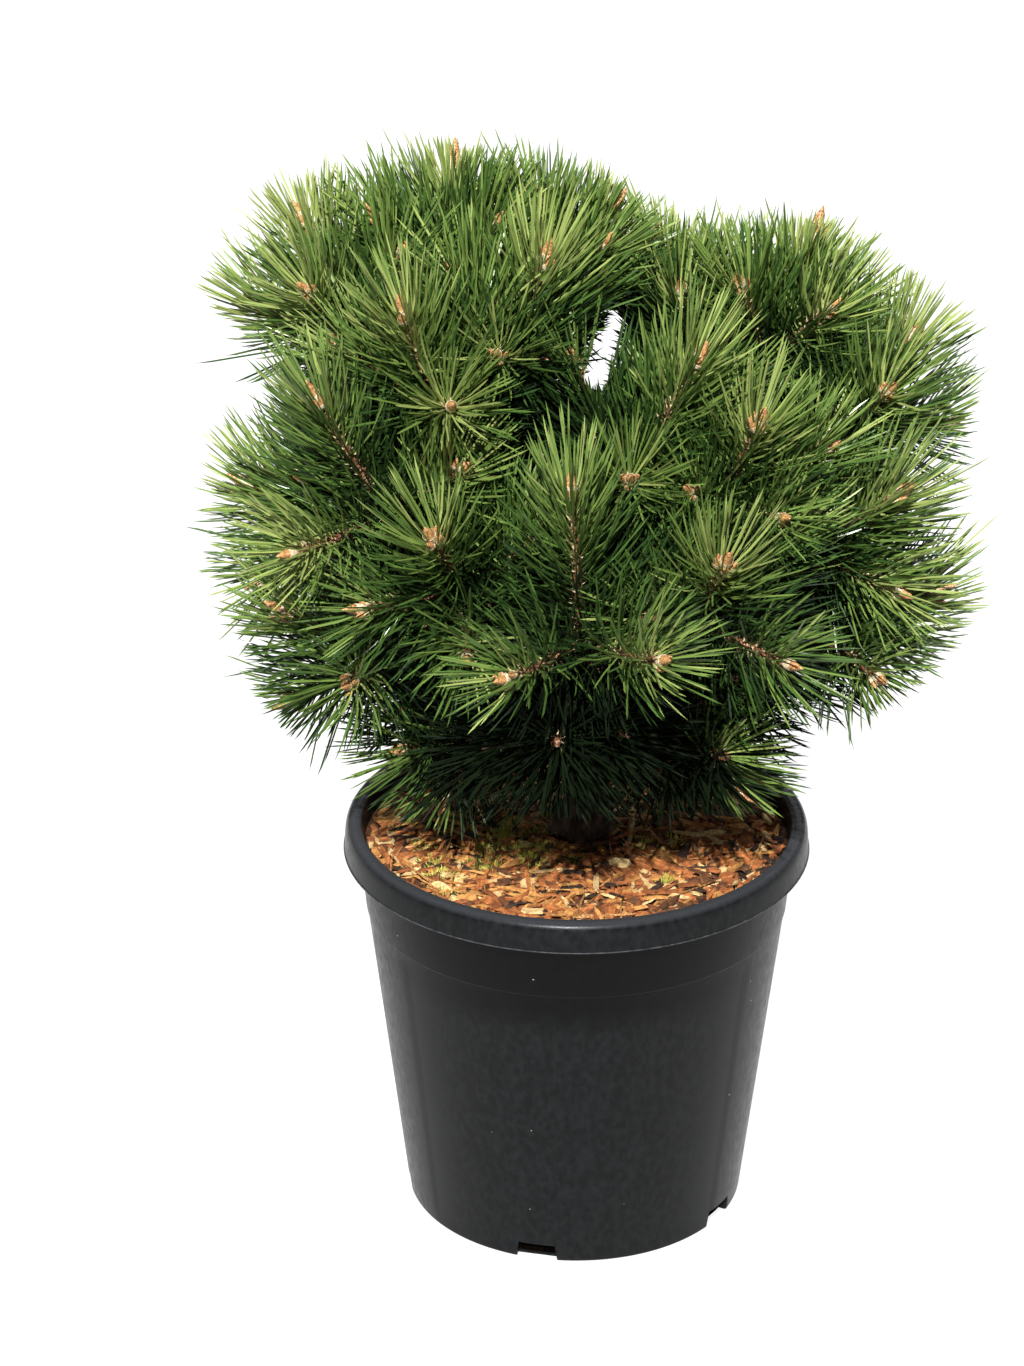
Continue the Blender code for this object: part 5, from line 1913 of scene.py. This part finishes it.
@dataclass
class Mulch:
    """Bark mulch: an uneven bed covered in loose chips, slivers, moss and fallen needles."""

    pot: Pot
    bed_low: float = 242.6 * MM
    edge_height: float = 247.0 * MM
    centre_height: float = 250.5 * MM
    relief: float = 1.6 * MM
    # Cell and weight of the bed's two fields, and where they fade in round the trunk
    humps: tuple = (14.0 * MM, 0.6)
    crumbs: tuple = (5.0 * MM, 0.4)
    flat_radius: float = 0.015
    flat_fade: float = 0.02
    columns: int = 160
    rows: int = 48
    chips: int = 2400
    sliver_share: float = 0.38
    # Least and most of a chip's sizes and of its height over the bed, in millimetres
    sliver_long: tuple = (14, 36)
    sliver_wide: tuple = (2.0, 4.0)
    flake_long: tuple = (7, 19)
    flake_wide: tuple = (3.5, 8.5)
    chip_thick: tuple = (0.9, 2.4)
    chip_above: tuple = (0.2, 4.2)
    chip_uneven: float = 0.13
    tufts: int = 40
    leaves_per_tuft: int = 90
    moss_place: tuple = (-0.045, -0.020)
    moss_spread: tuple = (0.026, 0.018)
    moss_near: float = 0.75
    moss_reach: float = 0.12
    fallen: int = 90
    fallen_middle: float = 0.118
    fallen_reach: float = 0.128

    def level(self, x: Array, y: Array) -> Array:
        """The bed's height: a low dome plus two random fields, flatter near the trunk.

        Args:
            x: places to the right.
            y: places away from the viewer.

        Returns:
            A height for each place.
        """
        radius = np.hypot(x, y)
        edge = self.pot.inner_radius(self.edge_height)
        dome = self.centre_height + (self.edge_height - self.centre_height) * (radius / edge) ** 2
        places = np.stack([x, y, np.zeros_like(x)], axis=-1).reshape(-1, 3)
        rough = value_noise(places, self.humps[0], 5) * self.humps[1]
        rough = rough + value_noise(places, self.crumbs[0], 6) * self.crumbs[1]
        fade = smooth_step((radius - self.flat_radius) / self.flat_fade)
        return dome + self.relief * rough.reshape(x.shape) * fade

    def bed_shape(self) -> Shape:
        """The bed: rings from its level underside out to the wall and back in over the top.

        Returns:
            The bed as a closed skin.
        """
        edge = self.pot.inner_radius(self.edge_height) - 0.4 * MM
        angle = 2 * math.pi * np.arange(self.columns) / self.columns
        out = np.array([0.05, edge * 0.995])
        back = edge * np.sqrt(np.linspace(1.0, 0.0008, self.rows))
        radius = np.concatenate([out, back])[:, None]
        x, y = radius * np.cos(angle), radius * np.sin(angle)
        height = self.level(x, y)
        height[:2] = self.bed_low
        rings = np.stack([x, y, height], axis=-1)
        top = np.array([0.0, 0.0, height[-1].mean()])
        return closed_grid(rings, np.array([0.0, 0.0, self.bed_low]), top)

    @staticmethod
    def chip_template() -> Shape:
        """A flat six-sided flake one unit long, wide and thick.

        Returns:
            The flake.
        """
        turn = 2 * math.pi * np.arange(6) / 6
        ring = np.stack([np.cos(turn) * 0.5, np.sin(turn) * 0.58], axis=1)
        low = np.column_stack([ring, np.full(6, -0.5)])
        high = np.column_stack([ring * 0.82, np.full(6, 0.5)])
        return closed_grid(np.stack([low, high]), np.array([0.0, 0.0, -0.5]), np.array([0.0, 0.0, 0.5]))

    def lay_chips(self) -> None:
        """Scatter flakes and slivers at random places, turns and small tilts over the bed."""
        rng = np.random.default_rng(SEED + 4)
        edge = self.pot.inner_radius(self.edge_height) - 5 * MM
        radius = edge * np.sqrt(rng.uniform(0.02, 1.0, self.chips))
        angle = rng.uniform(0, 2 * math.pi, self.chips)
        x, y = radius * np.cos(angle), radius * np.sin(angle)
        sliver = rng.uniform(0, 1, self.chips) < self.sliver_share
        ranges = (self.sliver_long, self.flake_long, self.sliver_wide, self.flake_wide)
        draws = [rng.uniform(*limits, self.chips) for limits in ranges]
        long, wide = np.where(sliver, *draws[:2]) * MM, np.where(sliver, *draws[2:]) * MM
        thick = rng.uniform(*self.chip_thick, self.chips) * MM
        near_wall = smooth_step((radius + long / 2 - edge) / (8 * MM))
        turn = np.where(near_wall > 0.3, angle + math.pi / 2, rng.uniform(0, 2 * math.pi, self.chips))
        turn = turn + rng.normal(0, 0.2, self.chips)
        along = unit(np.stack([np.cos(turn), np.sin(turn), rng.normal(0, 0.15, self.chips)], axis=1))
        up = unit(np.column_stack([rng.normal(0, 0.3, (self.chips, 2)), np.ones(self.chips)]))
        across = unit(np.cross(up, along))
        frames = np.stack([along, across, np.cross(along, across)], axis=1)
        height = self.level(x, y) + rng.uniform(*self.chip_above, self.chips) * MM
        origins = np.stack([x, y, height], axis=1)
        template = self.chip_template()
        uneven = (-self.chip_uneven, self.chip_uneven)
        jitter = rng.uniform(*uneven, (self.chips, len(template.points), 3))
        sizes = np.stack([long, wide, thick], axis=1)
        kinds = {
            "rust": ("8E5026", "B26E38", 0.25),
            "amber": ("A46C34", "C48E4C", 0.20),
            "straw": ("BE9860", "DCC088", 0.10),
            "russet": ("74401E", "905428", 0.20),
            "umber": ("4A2C15", "6A4022", 0.16),
            "peat": ("22160E", "382414", 0.09),
        }
        bounds = np.cumsum([0.0] + [share for _, _, share in kinds.values()])
        draw = rng.uniform(0, 1, self.chips)
        for number, (kind, (dark, light, _)) in enumerate(kinds.items()):
            chosen = (draw >= bounds[number]) & (draw < bounds[number + 1])
            shape = placed_copies(template, origins[chosen], frames[chosen], sizes[chosen], jitter[chosen])
            finish = DryScale(f"{kind}_bark_chip", dark, light, 0.85, 2.5 * MM).material()
            add_piece("chips_" + kind, shape, finish, [], smooth=False)

    def lay_moss(self) -> None:
        """Tufts of moss: small pointed leaves that lean out from the middle of each tuft."""
        rng = np.random.default_rng(SEED + 5)
        template = spike()
        near = rng.normal(0, 1, (self.tufts, 2)) * self.moss_spread + self.moss_place
        apart = rng.uniform(-0.11, 0.11, (self.tufts, 2))
        centre = np.where(rng.uniform(0, 1, (self.tufts, 1)) < self.moss_near, near, apart)
        centre = centre[np.linalg.norm(centre, axis=1) < self.moss_reach]
        count = len(centre) * self.leaves_per_tuft
        spread = np.repeat(rng.uniform(2.0, 6.0, len(centre)), self.leaves_per_tuft) * MM
        offset = rng.normal(0, 1, (count, 2)) * spread[:, None]
        place = np.repeat(centre, self.leaves_per_tuft, axis=0) + offset
        height = self.level(place[:, 0], place[:, 1]) + rng.uniform(1.0, 4.0, count) * MM
        origins = np.column_stack([place, height])
        lean = np.column_stack([offset / spread[:, None] * 0.5, np.ones(count)])
        aims = unit(lean + rng.normal(0, 0.2, (count, 3)))
        slim = rng.uniform(0.35, 0.6, count) * MM
        sizes = np.column_stack([slim, slim, rng.uniform(2.0, 4.5, count) * MM])
        frames = frames_along(aims, rng.uniform(0, 6.28, count))
        bright = rng.uniform(0, 1, count) < 0.6
        finishes = {"yellow": ("A8A63C", "D8D06A", bright), "green": ("6A7426", "A2A846", ~bright)}
        for tint, (dark, light, chosen) in finishes.items():
            shape = placed_copies(template, origins[chosen], frames[chosen], sizes[chosen])
            finish = DryScale(f"{tint}_cushion_moss", dark, light, 0.8, 6.0 * MM).material()
            add_piece("moss_" + tint, shape, finish, [], smooth=False)

    def lay_fallen_needles(self, foliage: Foliage) -> None:
        """Dry needles that lie level on the chips.

        Args:
            foliage: gives the shape of a needle.
        """
        rng = np.random.default_rng(SEED + 6)
        radius = self.fallen_middle * np.sqrt(rng.uniform(0.05, 1.0, self.fallen))
        angle = rng.uniform(0, 2 * math.pi, self.fallen)
        middle = np.stack([radius * np.cos(angle), radius * np.sin(angle)], axis=1)
        turn = rng.uniform(0, 2 * math.pi, self.fallen)
        length = rng.uniform(26, 46, self.fallen) * MM
        inward = np.linalg.norm(middle, axis=1) + length / 2 > self.fallen_reach
        turn = np.where(inward, angle + math.pi / 2, turn)
        aim = np.stack([np.cos(turn), np.sin(turn), rng.normal(0, 0.03, self.fallen)], axis=1)
        ends = middle - aim[:, :2] * length[:, None] / 2
        height = self.level(middle[:, 0], middle[:, 1]) + rng.uniform(3.2, 4.6, self.fallen) * MM
        root = np.column_stack([ends, height])
        bend = rng.normal(0, 0.04, (self.fallen, 3)) * np.array([1.0, 1.0, 0.2])
        facing = rng.normal(0, 1, (self.fallen, 3))
        shape = foliage.needle_shapes(Needles(root, unit(aim), bend, length), facing)
        finish = DryScale("dry_fallen_needle", "8A5A30", "C8955A", 0.6).material()
        add_piece("fallen_needles", shape, finish, [], smooth=False)

    def build(self, foliage: Foliage) -> None:
        """Make the bed and lay everything on it.

        Args:
            foliage: gives the shape of a needle.
        """
        bed = Granular("mulch_crumbs", "1C1007", "643A18", 2.2 * MM).material()
        add_piece("mulch_bed", self.bed_shape(), bed, ["bark_mulch"])
        self.lay_chips()
        self.lay_moss()
        self.lay_fallen_needles(foliage)
        soil = frame["nodes"]["potting_mix"]
        soil.data.materials.clear()
        # Damp peat, made near black as painted shade inside the drainage notches
        peat = Granular("damp_peat_mix", "040302", "0E0A07", 3.0 * MM, 0.0).material()
        soil.data.materials.append(peat)


# Studio
@dataclass
class Studio:
    """A pale floor, soft lights and the camera at the photograph's angle."""

    image_width: int = 1024
    image_height: int = 1366
    distance: float = 3.0
    elevation: float = 25.3
    target: tuple = (-0.0408, 0.0, 0.356)
    focal_pixels: float = 4809.0
    sensor: float = 36.0
    floor_colour: str = "686868"
    floor_glow: float = 0.9
    floor_half: float = 12.0
    backdrop_height: float = 6.0
    # Azimuth, elevation and softness in degrees, and strength
    key: tuple = (-97.0, 43.5, 1.6, 6.6)
    fill: tuple = (84.0, 50.0, 30.0, 2.5)
    surrounding: float = 0.2

    def camera(self) -> None:
        """The camera: its lens gives the photograph's size of the plant from 3 m away."""
        data = bpy.data.cameras.new("camera")
        data.sensor_width = self.sensor
        data.lens = self.focal_pixels * self.sensor / max(self.image_width, self.image_height)
        data.clip_end = 50.0
        camera = bpy.data.objects.new("camera", data)
        back = direction(-90.0, self.elevation)
        camera.location = np.array(self.target) + back * self.distance
        camera.rotation_euler = (math.radians(90.0 - self.elevation), 0.0, 0.0)
        bpy.context.scene.collection.objects.link(camera)
        bpy.context.scene.camera = camera

    def sheet(self, name: str, shape: Shape, lights_plant: bool) -> None:
        """A white sheet of the studio that glows evenly, so that no shadow turns it grey.

        Args:
            name: its name.
            shape: its surface.
            lights_plant: whether the plant's gloss mirrors it.
        """
        mesh = bpy.data.meshes.new(name)
        mesh.from_pydata(shape.points.tolist(), [], shape.triangles.tolist())
        settings = {"Base Color": srgb(self.floor_colour), "Roughness": 0.9}
        settings.update({"Emission Color": srgb("FFFFFF"), "Emission Strength": self.floor_glow})
        mesh.materials.append(new_surface("matt_white_" + name, settings))
        sheet = bpy.data.objects.new(name, mesh)
        sheet.visible_diffuse = False
        sheet.visible_glossy = lights_plant
        sheet.visible_shadow = lights_plant
        bpy.context.scene.collection.objects.link(sheet)

    def surround(self) -> None:
        """A level floor at the pot's foot and an upright backdrop round it."""
        half, high = self.floor_half, self.backdrop_height
        foot = [(-half, -half, 0.0), (half, -half, 0.0), (half, half, 0.0), (-half, half, 0.0)]
        self.sheet("floor", Shape(np.array(foot), quads_to_triangles(np.array([(0, 1, 2, 3)]))), True)
        corners = np.array(foot + [(x, y, high) for x, y, _ in foot])
        sides = np.array([(1, 0, 4, 5), (2, 1, 5, 6), (3, 2, 6, 7), (0, 3, 7, 4)])
        self.sheet("backdrop", Shape(corners, quads_to_triangles(sides)), False)

    @staticmethod
    def sun(name: str, azimuth: float, elevation: float, softness: float, strength: float) -> None:
        """A distant soft light.

        Args:
            name: its name.
            azimuth: where it stands round the plant, in degrees from +X.
            elevation: how high it stands, in degrees.
            softness: how wide it looks, in degrees.
            strength: watts on a square metre that faces it.
        """
        data = bpy.data.lights.new(name, "SUN")
        data.angle = math.radians(softness)
        data.energy = strength
        lamp = bpy.data.objects.new(name, data)
        lamp.rotation_euler = (math.radians(90.0 - elevation), 0.0, math.radians(azimuth + 90.0))
        bpy.context.scene.collection.objects.link(lamp)

    def build(self) -> None:
        """Make the floor, the lights, the surrounding light and the camera."""
        self.surround()
        self.sun("key", *self.key)
        self.sun("fill", *self.fill)
        world = bpy.data.worlds.new("studio")
        world.use_nodes = True
        background = world.node_tree.nodes["Background"]
        background.inputs["Color"].default_value = (1.0, 1.0, 1.0, 1.0)
        background.inputs["Strength"].default_value = self.surrounding
        bpy.context.scene.world = world
        bpy.context.scene.view_settings.view_transform = "Standard"
        self.camera()


def main() -> None:
    """Build the pot, the wood, the foliage and the studio in order."""
    logging.basicConfig(level=logging.INFO, format="%(name)s %(message)s")
    skeleton = Skeleton()
    skeleton.grow_limbs()
    shoots = skeleton.shoots()
    fine = skeleton.fine_twigs(shoots)
    stems = skeleton.stems()
    foliage = Foliage(skeleton)
    pot = Pot()
    pot.build()
    Mulch(pot).build(foliage)
    Wood(skeleton).build(shoots + fine + stems)
    foliage.build(shoots + fine + stems)
    Buds(skeleton).build(shoots)
    Studio().build()


if __name__ == "__main__":
    main()
